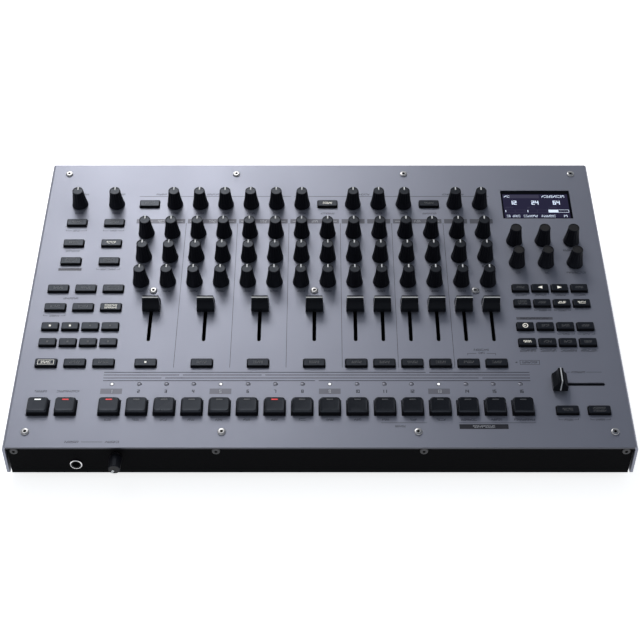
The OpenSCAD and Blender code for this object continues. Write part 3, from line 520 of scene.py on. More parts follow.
# Middles of the left and the right block, and the pitches in them
LEFT_X = -197.3
RIGHT_X = 193.6
PAIR_PITCH = 32.7
TRIPLE_PITCH = 23.15
NARROW_PITCH = 16.5
ENCODER_PITCH = 24.8
STEPS = 16
KEY_PITCH = 21.63
KEYS_X = -3.1
KEYS_V = 37.3
STOP_X = KEYS_X - (STEPS - 1) / 2 * KEY_PITCH - 34
START_X = STOP_X - KEY_PITCH
LIGHTS_V = 60.5
DISPLAY_X = RIGHT_X - 0.6
DISPLAY_V = 260.9
WINDOW_H = -0.3  # the window's face, sunk under the panel's


def column_x(c):
    return COLUMNS_X + (c - (COLUMNS - 1) / 2) * COLUMN_PITCH


def key_x(i):
    return KEYS_X + (i - (STEPS - 1) / 2) * KEY_PITCH


def spread(n, pitch, mid):
    return [mid + (i - (n - 1) / 2) * pitch for i in range(n)]


# ---- Knobs ----

KNOB_FOOT_R = 7.1
KNOB_TOP_R = 4.75
KNOB_H = 17.6
KNOB_GAP = 0.35  # between the panel and the knob
KNOB_SAG = 0.3  # how far the flank is hollow
FOOT_EDGE = 0.4
RIM_EDGE = 0.45
FLUTES = 12
FLUTE_DEPTH = 0.35
FLUTE_W = 1.1
KNOB_POINTS = 96
# Share of the way up the flank, and share of the flutes' depth there
FLANK = ((0.1, 0), (0.17, 0.3), (0.24, 1), (0.5, 1), (0.75, 1), (0.93, 1), (0.96, 0.5))
SHAFT_R = 3
SHAFT_LOW = -2.2
SHAFT_POINTS = 24
POINTER_W = 1.05
POINTER_LEN = 3.5
POINTER_DROP = 1.6  # how far it runs down the flank
NOTCH_W = 2.8
NOTCH_LEN = 1.3


def knob_profile():
    """(radius, height, share of the flutes' depth), from the foot to the sunk disc."""
    low, high = KNOB_GAP + FOOT_EDGE, KNOB_H - RIM_EDGE
    profile = [
        (KNOB_FOOT_R - 0.4, KNOB_GAP, 0),
        (KNOB_FOOT_R - 0.12, KNOB_GAP + 0.12, 0),
        (KNOB_FOOT_R, low, 0),
    ]
    for t, share in FLANK:
        r = KNOB_FOOT_R + t * (KNOB_TOP_R - KNOB_FOOT_R) - KNOB_SAG * 4 * t * (1 - t)
        profile.append((r, low + t * (high - low), share))
    profile += [
        (KNOB_TOP_R, high, 0.2),
        (KNOB_TOP_R - 0.1, KNOB_H - 0.12, 0),
        (KNOB_TOP_R - 0.25, KNOB_H - 0.04, 0),
        (KNOB_TOP_R - 0.7, KNOB_H - 0.04, 0),
        (KNOB_TOP_R - 0.8, KNOB_H - 0.3, 0),
    ]
    return profile


def knob_rings():
    rings = []
    for r, h, share in knob_profile():
        ring = []
        for i in range(KNOB_POINTS):
            a = 2 * math.pi * i / KNOB_POINTS
            off = abs((a / (2 * math.pi) * FLUTES) % 1 - 0.5) * 2 * math.pi / FLUTES * r
            dip = math.cos(min(1, off / (0.62 * FLUTE_W)) * math.pi / 2) ** 2
            reach = r - share * FLUTE_DEPTH * dip
            ring.append((reach * math.cos(a), reach * math.sin(a), h))
        rings.append(ring)
    return rings


def add_knob(bm, at, pointer=True):
    rings = knob_rings()
    add_rings(bm, rings, at=at, slots=[0] * (len(rings) - 1) + [1])
    shaft = [circle(SHAFT_R, SHAFT_LOW, SHAFT_POINTS), circle(SHAFT_R, KNOB_GAP, SHAFT_POINTS)]
    add_rings(bm, shaft, at=at, slots=[0, 0])
    if pointer:
        notch, white = NOTCH_W / 2, POINTER_W / 2
        rim = KNOB_TOP_R - 0.3
        low = KNOB_H - 0.4
        add_box(bm, -notch, rim - NOTCH_LEN, low, notch, rim, KNOB_H - 0.03, at=at, slot=0)
        add_box(bm, -white, KNOB_TOP_R - POINTER_LEN, low, white, rim, KNOB_H, at=at, slot=2)
        down, out = KNOB_H - POINTER_DROP, KNOB_TOP_R + 0.08
        add_box(bm, -white, rim - 0.1, down, white, out, KNOB_H - 0.3, at=at, slot=2)


def knob_piece(name, node, body, places, pointer=True):
    bm = bmesh.new()
    for x, v in places:
        add_knob(bm, shift(x, v), pointer)
    top = KNOB_TOP if pointer else ENCODER_TOP
    o = place(name, bm, [KNOB, top, POINTER], body, PANEL)
    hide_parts(node)


def joint_place(name):
    """Panel (x, v) of a joint's axis."""
    for j in frame["joints"]:
        if j["name"] == name:
            p = PANEL.inverted() @ Vector(j["pos_m"])
            return p.x / MM, p.y / MM
    raise KeyError(name)


channel_places = [
    (column_x(c), LOWEST_ROW + r * ROW_PITCH) for r in range(KNOB_ROWS) for c in range(COLUMNS)
]
knob_piece("channel_knob_caps", "channel_knobs", "root", channel_places)
top_places = [joint_place(f"top_knob_{i}_turn") for i in range(1, 14)]
for i, p in enumerate(top_places, 1):
    knob_piece(f"top_knob_cap_{i}", f"top_knob_{i}", f"top_knob_{i}", [p])
encoder_places = [joint_place(f"encoder_{i}_turn") for i in range(1, 7)]
for i, p in enumerate(encoder_places, 1):
    knob_piece(f"encoder_cap_{i}", f"encoder_{i}", f"encoder_{i}", [p], pointer=False)

# ---- Faders ----

CAP_W = 14.8
CAP_D = 11.8
CAP_H = 12.8
CAP_GAP = 0.8  # between the panel and the cap
CAP_SKIRT = 5.0  # height at which the flanks start
CAP_RIDGE = 4.0  # the flat top, from front to rear
CAP_NARROW = 0.7  # taken off each side on the way up
CAP_EDGE = 0.3
CAP_END_IN = 0.25  # how far the two ends are smaller, for a soft edge
FLANK_SAG = 0.75
FLANK_STEPS = 8
LINE_HALF = 0.45
LINE_SIDE_T = 0.34
TONGUE = (0.8, 1.5, -6.3)  # half width, half depth and low end of what runs in the slot


def cap_half(h):
    return CAP_W / 2 - CAP_NARROW * (h - CAP_GAP) / (CAP_H - CAP_GAP)


def cap_outline():
    """(v, h) round the cap, seen from its side: up its rear half and down its front half."""
    foot, top = CAP_D / 2, CAP_RIDGE / 2
    slope = math.atan2(CAP_H - CAP_SKIRT, foot - top)
    half = [(foot - CAP_EDGE, CAP_GAP), (foot, CAP_GAP + CAP_EDGE), (foot, CAP_SKIRT - CAP_EDGE)]
    for i in range(FLANK_STEPS):
        t = i / FLANK_STEPS
        sag = FLANK_SAG * 4 * t * (1 - t)
        v = foot + (top - foot) * t
        h = CAP_SKIRT + (CAP_H - CAP_SKIRT) * t
        half.append((v - sag * math.sin(slope), h - sag * math.cos(slope)))
    half += [(top + 0.15, CAP_H - 0.25), (top - 0.15, CAP_H)]
    return half + [(-v, h) for v, h in reversed(half)]


def cap_end(side, outline):
    """The outer ring of one end, a little smaller than the outline."""
    shrink = 1 - CAP_END_IN / (CAP_D / 2)
    ring = []
    for v, h in outline:
        drop = 0.15 if h > CAP_SKIRT else -0.1 if h < CAP_GAP + CAP_EDGE else 0
        ring.append((side * cap_half(h), v * shrink, h - drop))
    return ring


def add_fader(bm, at):
    outline = cap_outline()
    left_in = [(CAP_EDGE - cap_half(h), v, h) for v, h in outline]
    right_in = [(cap_half(h) - CAP_EDGE, v, h) for v, h in outline]
    add_rings(bm, [cap_end(-1, outline), left_in, right_in, cap_end(1, outline)], at=at, slots=[0] * 4)
    # The line over the ridge, and down both ends
    w, low = cap_half(CAP_H), CAP_GAP + 0.5
    add_box(bm, -w, -LINE_HALF, CAP_H - 0.3, w, LINE_HALF, CAP_H + 0.04, at=at, slot=1)
    for side in (-1, 1):
        x_top, x_low = side * (w - CAP_EDGE), side * (cap_half(low) - CAP_EDGE)
        inner = [
            (x_top, -LINE_HALF, CAP_H),
            (x_top, LINE_HALF, CAP_H),
            (x_low, LINE_HALF, low),
            (x_low, -LINE_HALF, low),
        ]
        outer = [(x + side * LINE_SIDE_T, v, h) for x, v, h in inner]
        add_rings(bm, [inner, outer], at=at, slots=[1, 1])
    half_w, half_d, down = TONGUE
    add_box(bm, -half_w, -half_d, down, half_w, half_d, CAP_GAP + 0.1, at=at)


def fader_piece(name, node, at):
    bm = bmesh.new()
    add_fader(bm, at)
    o = place(name, bm, [FADER, FADER_LINE], node, PANEL)
    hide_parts(node)


for i, c in enumerate(CHANNELS, 1):
    fader_piece(f"fader_cap_{i}", f"fader_{i}", shift(column_x(c), FADER_V))
fader_piece("cross_fader_cap", "cross_fader", shift(CROSS_X - FADER_TRAVEL / 2, CROSS_V, turn=math.pi / 2))

# ---- Buttons, and the signs on them ----

WIDE_W = 17.6
NARROW_W = 14.1
BUTTON_D = 7.8
BUTTON_H = 2.3
BUTTON_CORNER = 1.2
BUTTON_RIM = 0.6  # near black round the face: painted shade
CAP_LOW = -2.35  # the caps of buttons and keys reach down through the sheet


def add_button(bm, w, at):
    levels = [(CAP_LOW, 0), (BUTTON_H - 0.6, 0), (BUTTON_H - 0.3, 0.1), (BUTTON_H - 0.12, 0.3)]
    levels += [(BUTTON_H - 0.08, BUTTON_RIM), (BUTTON_H, BUTTON_RIM + 0.12)]
    rings = []
    for h, inset in levels:
        corner = BUTTON_CORNER - min(inset, 0.7)
        rings.append(rounded(w - 2 * inset, BUTTON_D - 2 * inset, corner, h))
    # The walls and the rim (slot 1) are painted shade
    add_rings(bm, rings, at=at, slots=[1, 1, 1, 1, 0, 0])


# Strokes of a sign, on a cell 1 wide and 2 high: x0, y0, x1, y1
STROKES = {
    "a": (0, 2, 1, 2),
    "g": (0, 1, 1, 1),
    "d": (0, 0, 1, 0),
    "f": (0, 1, 0, 2),
    "b": (1, 1, 1, 2),
    "e": (0, 0, 0, 1),
    "c": (1, 0, 1, 1),
}
DIGITS = ("abcdef", "bc", "abged", "abgcd", "fgbc", "afgcd", "afgedc", "abc", "abcdefg", "abfgcd")
# Signs for print that isn't numbers. None of them is a letter
WORD_SIGNS = ("agd", "age", "gdb", "afc", "dbe", "aec", "fbd", "ad", "ebg")
# A sign's width, its strokes' thickness and the pitch, as shares of its height
SIGN_W, SIGN_T, SIGN_PITCH = 0.5, 0.21, 0.86


def signs(cells, height):
    """Boxes (x0, y0, x1, y1) of a row of signs about the origin."""
    w, t, pitch = SIGN_W * height, SIGN_T * height, SIGN_PITCH * height
    left = -((len(cells) - 1) * pitch + w) / 2
    low = -height / 2
    boxes = []
    for k, cell in enumerate(cells):
        x = left + k * pitch
        for x0, y0, x1, y1 in (STROKES[s] for s in cell):
            start = (x + x0 * w - t / 2, low + y0 * height / 2 - t / 2)
            end = (x + x1 * w + t / 2, low + y1 * height / 2 + t / 2)
            boxes.append((*start, *end))
    return boxes


def number(n, height):
    return signs([DIGITS[int(c)] for c in str(n)], height)


def word(seed, width, height):
    """Stands in for a printed word: a row of strokes without a letter in it."""
    rng = random.Random(str(seed))
    count = max(2, round(width / (SIGN_PITCH * height)))
    return signs([rng.choice(WORD_SIGNS) for _ in range(count)], height)


def frame_boxes(w, d, t=0.3):
    return [
        (-w / 2, d / 2 - t, w / 2, d / 2),
        (-w / 2, -d / 2, w / 2, -d / 2 + t),
        (-w / 2, -d / 2 + t, -w / 2 + t, d / 2 - t),
        (w / 2 - t, -d / 2 + t, w / 2, d / 2 - t),
    ]


def add_face(bm, points, h):
    """A printed flat, seen from above."""
    bm.faces.new([bm.verts.new((x, v, h)) for x, v in points])


def add_flat(bm, boxes, x, v, h):
    for x0, y0, x1, y1 in boxes:
        add_face(bm, [(x + x0, v + y0), (x + x1, v + y0), (x + x1, v + y1), (x + x0, v + y1)], h)


def add_triangle(bm, x, v, h, size, way):
    points = [(x - way * size, v - size * 0.8), (x + way * size, v), (x - way * size, v + size * 0.8)]
    add_face(bm, points if way > 0 else points[::-1], h)


def add_arc(bm, x, v, h, inner, outer, start=0, end=360):
    """A flat ring, or part of one, between two angles in degrees."""
    steps = 24
    angles = [math.radians(start + (end - start) * i / steps) for i in range(steps + 1)]
    for a, b in zip(angles, angles[1:]):
        corners = ((inner, a), (outer, a), (outer, b), (inner, b))
        add_face(bm, [(x + r * math.cos(t), v + r * math.sin(t)) for r, t in corners], h)


LEGEND_H = BUTTON_H + 0.03


def add_sign(bm, sign, seed, x, v, w):
    """A button's legend: "word", "two", "framed", "dot", "left", "right" or "round"."""
    if sign in ("word", "framed"):
        add_flat(bm, word(seed, w * 0.5, 1.9), x, v, LEGEND_H)
    if sign == "two":
        for side in (-1, 1):
            add_flat(bm, word(f"{seed}{side}", w * 0.55, 1.5), x, v + side * 1.3, LEGEND_H)
    if sign == "framed":
        add_flat(bm, frame_boxes(w * 0.74, 4.6), x, v, LEGEND_H)
    if sign == "dot":
        add_flat(bm, [(-0.8, -0.9, 0.8, 0.9)], x, v, LEGEND_H)
    if sign in ("left", "right"):
        add_triangle(bm, x, v, LEGEND_H, 1.9, -1 if sign == "left" else 1)
    if sign == "round":
        add_arc(bm, x, v, LEGEND_H, 1.7, 2.3)
        add_triangle(bm, x, v, LEGEND_H, 0.9, 1)


def button_bank(name, node, buttons):
    """Caps and legends of a bank. buttons: (x, v, width, sign, lit)."""
    bm = bmesh.new()
    for x, v, w, _, _ in buttons:
        add_button(bm, w, shift(x, v))
    o = place(name, bm, [BUTTON, CAP_SIDE_SHADE], node, PANEL)
    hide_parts(node)
    for lit_now, label, material in ((False, "dim", LEGEND_DIM), (True, "lit", LEGEND_LIT)):
        bm = bmesh.new()
        for k, (x, v, w, sign, lit) in enumerate(buttons):
            if lit == lit_now:
                add_sign(bm, sign, f"{name}{k}", x, v, w)
        place(f"{name}_signs_{label}", bm, [material], node, PANEL, flat=True)


def block(levels, xs, width, lit=(), special=None, usual="word"):
    """Rows of buttons. lit and special go by (row, place in it), from the rear and from the left."""
    special = special or {}
    return [
        (x, v, width, special.get((k, i), usual), (k, i) in lit)
        for k, v in enumerate(levels)
        for i, x in enumerate(xs)
    ]


PAIR_ROWS = (237.2, 212.6, 191.6)
TRIPLE_ROWS = (160.4, 139.8, 81.1)
DOT_ROWS = (119.1, 102.3)
RIGHT_ROWS = (160.9, 144.2, 119.2, 102.3)
CROSS_BUTTON_V = 34.4
TOP_BUTTON_COLUMNS = (0, 7, 11)

pair_x = spread(2, PAIR_PITCH, LEFT_X)
triple_x = spread(3, TRIPLE_PITCH, LEFT_X)
left = block(PAIR_ROWS, pair_x, WIDE_W, lit={(1, 1)}, special={(2, 0): "two", (2, 1): "two"})
triple_signs = {(0, 2): "two", (1, 2): "two", (2, 0): "framed"}
left += block(TRIPLE_ROWS, triple_x, WIDE_W, lit={(1, 2), (2, 0)}, special=triple_signs)
left += block(DOT_ROWS, spread(4, NARROW_PITCH, LEFT_X), NARROW_W, lit={(0, 0), (0, 1)}, usual="dot")
button_bank("left_button_caps", "left_buttons", left)

channel_x = [column_x(c) for c in CHANNELS]
centre = block((TOP_ROW,), [column_x(c) for c in TOP_BUTTON_COLUMNS], WIDE_W, lit={(0, 1)})
centre += block((CHANNEL_BUTTON_V,), channel_x, WIDE_W, lit={(0, 0)}, special={(0, 0): "dot"})
button_bank("centre_button_caps", "centre_buttons", centre)

right_x = spread(4, NARROW_PITCH, RIGHT_X)
cross_button_x = (RIGHT_X, RIGHT_X + ENCODER_PITCH)
right_lit = {(0, 1), (0, 2), (1, 2), (1, 3), (2, 0), (3, 0)}
right_signs = {(0, 1): "left", (0, 2): "right", (1, 0): "two", (2, 0): "round"}
right = block(RIGHT_ROWS, right_x, NARROW_W, lit=right_lit, special=right_signs)
right += block((CROSS_BUTTON_V,), cross_button_x, WIDE_W, special={(0, 1): "two"})
button_bank("right_button_caps", "right_buttons", right)

# ---- Keys ----

KEY_W = 17.1
KEY_D = 14.6
KEY_H = 5.2
KEY_TAPER = 1.4  # taken off each side on the way up to the face
KEY_LEAN = 0.6
KEY_SKIRT = 1.2
KEY_BEVEL_H = 1.7  # height of the bevel round the face
KEY_CORNER = 1.6
FACE_CORNER = 1.7
FACE_EDGE = 0.3
KEY_DISH = 0.06
KEY_REAR_RIM = 0.75
# Inset from the face's edge, and depth under the top
BEVEL = ((-0.75, KEY_BEVEL_H), (-0.55, 1.1), (-0.2, 0.55), (0.2, 0.1), (0.35, 0))
FACE_SHARES = (0.99, 0.8, 0.55, 0.3, 0.08)
SLIT_W = 5.1
SLIT_D = 0.95
SLIT_INSET = 0.85  # from the face's rear edge
SLIT_DEPTH = 0.6
LIT_STEPS = (0, 6)
SPILL_BOX = (-2.6, 2.1, 2.6, 4.3)
SPILL_SINK = 0.1
FACE_W = KEY_W - 2 * KEY_TAPER
FACE_D = KEY_D - 2 * KEY_TAPER


def key_sides():
    rings = [rounded(KEY_W, KEY_D, KEY_CORNER, h) for h in (CAP_LOW, KEY_SKIRT - 0.15)]
    rings.append(rounded(KEY_W - 0.15, KEY_D - 0.15, KEY_CORNER, KEY_SKIRT + 0.15))
    for t in (0.35, 0.7):
        h = KEY_SKIRT + t * (KEY_H - KEY_BEVEL_H - KEY_SKIRT)
        lean = 2 * t * KEY_LEAN
        rings.append(rounded(KEY_W - lean, KEY_D - lean, KEY_CORNER, h))
    return rings


def key_bevel():
    """Rings round the face. They stand further back behind it, which makes its rear rim."""
    rings = []
    start = BEVEL[0][0]
    for inset, depth in BEVEL:
        back = KEY_REAR_RIM * min(1, (inset - start) / -start)
        spread_out = 2 * FACE_EDGE - 2 * inset
        ring = rounded(FACE_W + spread_out, FACE_D + spread_out, FACE_CORNER, KEY_H - depth)
        rings.append([(x, y + back if y > 0 else y, z) for x, y, z in ring])
    return rings


def key_face():
    """A face that is dished from side to side."""
    rings = []
    for share in FACE_SHARES:
        ring = []
        for x, y, _ in rounded(FACE_W - FACE_EDGE, FACE_D - FACE_EDGE, FACE_CORNER, 0):
            x, y = x * share, y * share
            dish = KEY_DISH * (1 - (2 * x / FACE_W) ** 2) * (1 - share**4)
            ring.append((x, y, KEY_H - 0.02 - dish))
        rings.append(ring)
    return rings


def add_key(bm, at):
    sides = key_sides()
    upper = key_bevel() + key_face()
    # The sides (slot 1) are painted shade
    add_rings(bm, sides + upper, at=at, slots=[1] * len(sides) + [0] * len(upper))


def add_slit(bm, x):
    v = KEYS_V + FACE_D / 2 - SLIT_INSET - SLIT_D / 2
    levels = ((KEY_H - SLIT_DEPTH, 0), (KEY_H - 0.02, 0), (KEY_H, 0.1))
    rings = [rounded(SLIT_W - 2 * inset, SLIT_D - 2 * inset, 0.35, h) for h, inset in levels]
    add_rings(bm, rings, at=shift(x, v))


def key_bank(name, node, xs):
    bm = bmesh.new()
    for x in xs:
        add_key(bm, shift(x, KEYS_V))
    o = place(name, bm, [KEY, CAP_SIDE_SHADE], node, PANEL)
    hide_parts(node)


def slits(name, node, xs, material):
    bm = bmesh.new()
    for x in xs:
        add_slit(bm, x)
    place(name, bm, [material], node, PANEL)


def red_spill(steps):
    """Painted light: the red glow that two lit slits throw on their keys."""
    bm = bmesh.new()
    for i in steps:
        add_flat(bm, [SPILL_BOX], key_x(i), KEYS_V, KEY_H - SPILL_SINK)
    place("step_key_painted_light", bm, [PAINTED_RED_LIGHT], "step_keys", PANEL, flat=True)


key_bank("start_key_cap", "start_key", [START_X])
key_bank("stop_key_cap", "stop_key", [STOP_X])
key_bank("step_key_caps", "step_keys", [key_x(i) for i in range(STEPS)])
slits("start_key_light", "start_key", [START_X], LIGHT_WHITE)
slits("stop_key_light", "stop_key", [STOP_X], LIGHT_RED)
slits("step_key_lights_lit", "step_keys", [key_x(i) for i in LIT_STEPS], LIGHT_RED)
red_spill(LIT_STEPS)
dark_steps = [i for i in range(STEPS) if i not in LIT_STEPS]
slits("step_key_lights_off", "step_keys", [key_x(i) for i in dark_steps], LIGHT_OFF)

# ---- Small round lights. Every fourth one is lit ----

LIGHT_R = 1.5
LIGHT_LOW = -3
LIGHT_SINK = 0.1
LIGHT_DOME = 0.45
LIGHT_POINTS = 24


def add_light(bm, x):
    rings = [circle(LIGHT_R, LIGHT_LOW, LIGHT_POINTS), circle(LIGHT_R, -LIGHT_SINK, LIGHT_POINTS)]
    for a in (math.radians(angle) for angle in (25, 45, 60, 78)):
        rings.append(circle(LIGHT_R * math.cos(a), LIGHT_DOME * math.sin(a) - LIGHT_SINK, LIGHT_POINTS))
    add_rings(bm, rings, at=shift(x, LIGHTS_V), slots=[0, 0, 0, 1, 1, 1])


def is_beat(i):
    return i % 4 == 0


for name, lit_now, material in (("step_lights_lit", True, LIGHT_WHITE), ("step_lights_off", False, LENS_OFF)):
    bm = bmesh.new()
    for i in range(STEPS):
        if is_beat(i) == lit_now:
            add_light(bm, key_x(i))
    o = place(name, bm, [LENS_OFF, material], "root", PANEL)
    if not lit_now:
        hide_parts("step_lights")

# ---- Screws ----

SCREW_R = 3.2
SCREW_H = 1.35
SCREW_RIM = 0.35
SHANK_R = 1.5
SHANK_LEN = 8
HEX_R = 1.3
HEX_DEPTH = 1.1
SCREW_POINTS = 48
# Inset from the rim, and depth under the top
SCREW_DOME = ((0.06, 0.6), (0.2, 0.34), (0.45, 0.18), (0.85, 0.08), (1.2, 0.03), (1.5, 0))
PANEL_SCREW_X = 76
PANEL_SCREW_INSET = 16
PANEL_SCREW_FRONT = 14.4
PANEL_SCREW_REAR = 11.7
MIDDLE_SCREW_V = 158.75
WALL_SCREW_X = 80
WALL_SCREW_INSET = 5
FRONT_SCREW_DROP = 5.2
REAR_SCREW_Z = 15
TO_FRONT = Matrix.Rotation(math.pi / 2, 4, "X")
TO_REAR = Matrix.Rotation(-math.pi / 2, 4, "X")


def on_wall(x, y, z, facing, turn=0.0):
    """Place of what stands out of a wall, in millimetres."""
    return Matrix.Translation((x, y, z)) @ facing @ Matrix.Rotation(turn, 4, "Z")


def add_screw(bm, at):
    n = SCREW_POINTS
    rings = [circle(SHANK_R, -SHANK_LEN, n), circle(SHANK_R, 0, n)]
    rings += [circle(SCREW_R, 0, n), circle(SCREW_R, SCREW_RIM, n)]
    rings += [circle(SCREW_R - inset, SCREW_H - depth, n) for inset, depth in SCREW_DOME]
    for r, depth in ((HEX_R + 0.1, 0.03), (HEX_R, 0.15), (HEX_R, HEX_DEPTH)):
        rings.append(polygon(r, SCREW_H - depth, 6, n))
    # The hex socket's walls and floor (slot 1) are painted shade
    add_rings(bm, rings, at=at, slots=[0] * (len(rings) - 2) + [1, 1])


def panel_screws():
    side = HALF_W - PANEL_SCREW_INSET
    places = [
        (x, v)
        for x in (-side, -PANEL_SCREW_X, PANEL_SCREW_X, side)
        for v in (PANEL_SCREW_FRONT, PANEL_LEN - PANEL_SCREW_REAR)
    ]
    places += [(column_x(c), MIDDLE_SCREW_V) for c in (0.5, 6.5, 12.5)]
    bm = bmesh.new()
    for k, (x, v) in enumerate(places):
        add_screw(bm, shift(x, v, turn=0.4 * k))
    o = place("panel_screws", bm, [STEEL, INNER_BLACK_AND_SHADE], "root", PANEL)
    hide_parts("case_screws")


def wall_screws():
    side = FRONT_HALF_W - WALL_SCREW_INSET
    front_z = FRONT_Z / MM - FRONT_SCREW_DROP
    bm = bmesh.new()
    for k, x in enumerate((-side, -WALL_SCREW_X, WALL_SCREW_X, side)):
        add_screw(bm, on_wall(x, FRONT_WALL_Y, front_z, TO_FRONT, 0.5 * k))
        add_screw(bm, on_wall(x, REAR_WALL_Y, REAR_SCREW_Z, TO_REAR, 0.5 * k))
    # The wall screws' darkened steel is painted shade
    place("wall_screws", bm, [WALL_SCREW_SHADE, INNER_BLACK_AND_SHADE], "root", Matrix.Identity(4))


panel_screws()
wall_screws()

# ---- Front: headphone ring and volume knob ----

PHONES_X = -HALF_W + 54.7
PHONES_DROP = 20.3
# (radius, height) round the ring's section, from its bore over its face
PHONES_RING = ((3.25, -0.2), (3.25, 0.6), (4.05, 1.3), (4.35, 1.4), (4.75, 1.0), (4.75, 0))
RING_POINTS = 48
VOLUME_X = -HALF_W + 86.7
VOLUME_DROP = 10.8
VOLUME_R = 5.0
VOLUME_OUT = 14.5
VOLUME_SHAFT = ((2, -4.4), (2, 2))
VOLUME_POINTS = 72
KNURLS = 18
KNURL_DEPTH = 0.12
VOLUME_REST = math.radians(150)


def phones_ring():
    bm = bmesh.new()
    rings = [circle(r, h, RING_POINTS) for r, h in PHONES_RING]
    add_hoop(bm, rings, slots=[1, 1, 0, 0, 0])
    at = Matrix.Translation((PHONES_X * MM, FRONT_WALL_Y * MM, FRONT_Z - PHONES_DROP * MM)) @ TO_FRONT
    place("phones_ring", bm, [NICKEL, INNER_BLACK_AND_SHADE], "root", at)


def volume_rings():
    profile = [
        *VOLUME_SHAFT,
        (VOLUME_R - 0.3, 2),
        (VOLUME_R, 2.3),
        (VOLUME_R - 0.4, VOLUME_OUT - 0.6),
        (VOLUME_R - 0.55, VOLUME_OUT - 0.2),
        (VOLUME_R - 0.9, VOLUME_OUT),
        (VOLUME_R - 1.1, VOLUME_OUT - 0.2),
    ]
    rings = []
    for r, h in profile:
        depth = KNURL_DEPTH if 2.2 < h < VOLUME_OUT - 0.5 else 0
        ring = []
        for i in range(VOLUME_POINTS):
            a = 2 * math.pi * i / VOLUME_POINTS
            reach = r - depth * (0.5 + 0.5 * math.cos(KNURLS * a))
            ring.append((reach * math.cos(a), reach * math.sin(a), h))
        rings.append(ring)
    return rings


def volume_knob():
    bm = bmesh.new()
    rings = volume_rings()
    add_rings(bm, rings, slots=[0] * (len(rings) - 1) + [1])
    turn = Matrix.Rotation(VOLUME_REST, 4, "Z")
    inner, outer = VOLUME_R - 3.8, VOLUME_R - 0.45
    add_box(bm, -0.9, inner, VOLUME_OUT - 1.6, 0.9, outer, VOLUME_OUT, at=turn, slot=2)
    at = Matrix.Translation((VOLUME_X * MM, FRONT_WALL_Y * MM, FRONT_Z - VOLUME_DROP * MM)) @ TO_FRONT
    o = place("volume_cap", bm, [KNOB, ENCODER_TOP, POINTER], "volume_knob", at)
    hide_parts("volume_knob")


phones_ring()
volume_knob()

# ---- Print on the panel. The places of the maker's and the model's names stay bare ----

PRINT_H = {"grey": 0.02, "light": 0.02, "dark": 0.035, "pale": 0.05}
THIN = 0.3
WORD_H = 1.6
prints = {kind: bmesh.new() for kind in PRINT_H}


def ink(kind, boxes, x=0, v=0):
    add_flat(prints[kind], boxes, x, v, PRINT_H[kind])


def text(x, v, width, height=WORD_H, kind="dark"):
    ink(kind, word(f"{x:.0f},{v:.0f}", width, height), x, v)


def level_line(x0, x1, v, gaps=(), t=THIN):
    """A line across the panel, broken by a list of (middle, width) gaps."""
    ends = [x0] + [mid + side * w / 2 for mid, w in gaps for side in (-1, 1)] + [x1]
    for a, b in zip(ends[::2], ends[1::2]):
        ink("dark", [(a, v - t / 2, b, v + t / 2)])


def bracket(x, v, width, word_w):
    """A word between two thin lines that turn up at their ends."""
    level_line(x - width / 2, x + width / 2, v, [(x, word_w + 1.6)])
    for side in (-1, 1):
        ink("dark", [(-THIN / 2, 0, THIN / 2, 1.3)], x + side * (width - THIN) / 2, v)
    text(x, v, word_w, 1.4)


def bar(x, v, width, depth, kind="grey"):
    ink(kind, [(-width / 2, -depth / 2, width / 2, depth / 2)], x, v)


# Channels: head bars, with a pale dash on each side where two columns share one, and dividers
HEAD_V = 240
HEAD_D = 5.4
HEAD_GAP = 2.4
HEAD_GROUPS = ((0, 1), (2, 3), (4, 5), (6, 7), (8,), (9,), (10, 11), (12,), (13,))
DASH_X = 13.5
DASH_W = 12
DASH_T = 0.5
DIVIDER_BOX = (-THIN / 2, 77.2, THIN / 2, 237.8)
for group in HEAD_GROUPS:
    mid = column_x(sum(group) / len(group))
    bar(mid, HEAD_V, len(group) * COLUMN_PITCH - HEAD_GAP, HEAD_D)
    text(mid, HEAD_V, 5.5, 2.2, "pale")
    if len(group) == 2:
        for side in (-1, 1):
            bar(mid + side * DASH_X, HEAD_V, DASH_W, DASH_T, "pale")
for c in (1.5, 3.5, 5.5, 7.5, 9.5, 11.5):
    ink("dark", [DIVIDER_BOX], column_x(c))

# The line behind the top row, the words in and over it, and the knobs' labels
TOP_LINE_V = 270.9
TOP_LINE_T = 0.4
TOP_WORD_V = 273.4
TOP_WORDS = ((-142, 9), (-96, 11), (39.7, 10), (119.2, 19.6))
TOP_LABEL_DROP = 10.6
LABEL_DROP = 10.1
TOP_BUTTON_LABEL_DROP = 10.9
level_line(column_x(0) - 10, column_x(13) + 9, TOP_LINE_V, [(-24.4, 3), (75.6, 9.8)], TOP_LINE_T)
for x, width in TOP_WORDS:
    text(x, TOP_WORD_V, width)
for x, v in top_places:
    text(x, v - TOP_LABEL_DROP, 7.5)
for x, _ in top_places[:2]:
    text(x, TOP_WORD_V, 13)
for c in TOP_BUTTON_COLUMNS[1:]:
    text(column_x(c), TOP_ROW - TOP_BUTTON_LABEL_DROP, 12.5)
for x, v in channel_places:
    text(x, v - LABEL_DROP, 7)

# The last two channels' shared label
SHARED_V = 91.7
level_line(column_x(12), column_x(13), SHARED_V, [(column_x(12.5), 8.4)])
for c in (12, 13):
    ink("dark", [(-THIN / 2, SHARED_V - 2, THIN / 2, SHARED_V)], column_x(c))
text(column_x(12.5), SHARED_V + 3.7, 13)
text(column_x(12.5), SHARED_V + 0.5, 6)

# Four lines with staggered gaps over the step lights: (v, middles of the gaps)
LINES_X = (-172.8, 167.6)
LINES = ((72.4, (86,)), (69.7, (-111.1, -45.2)), (66.7, (-125, 128)), (64.0, (-2.5,)))
LINES_T = 0.6
LINES_GAP = 3
for v, gaps in LINES:
    level_line(*LINES_X, v, [(x, LINES_GAP) for x in gaps], LINES_T)

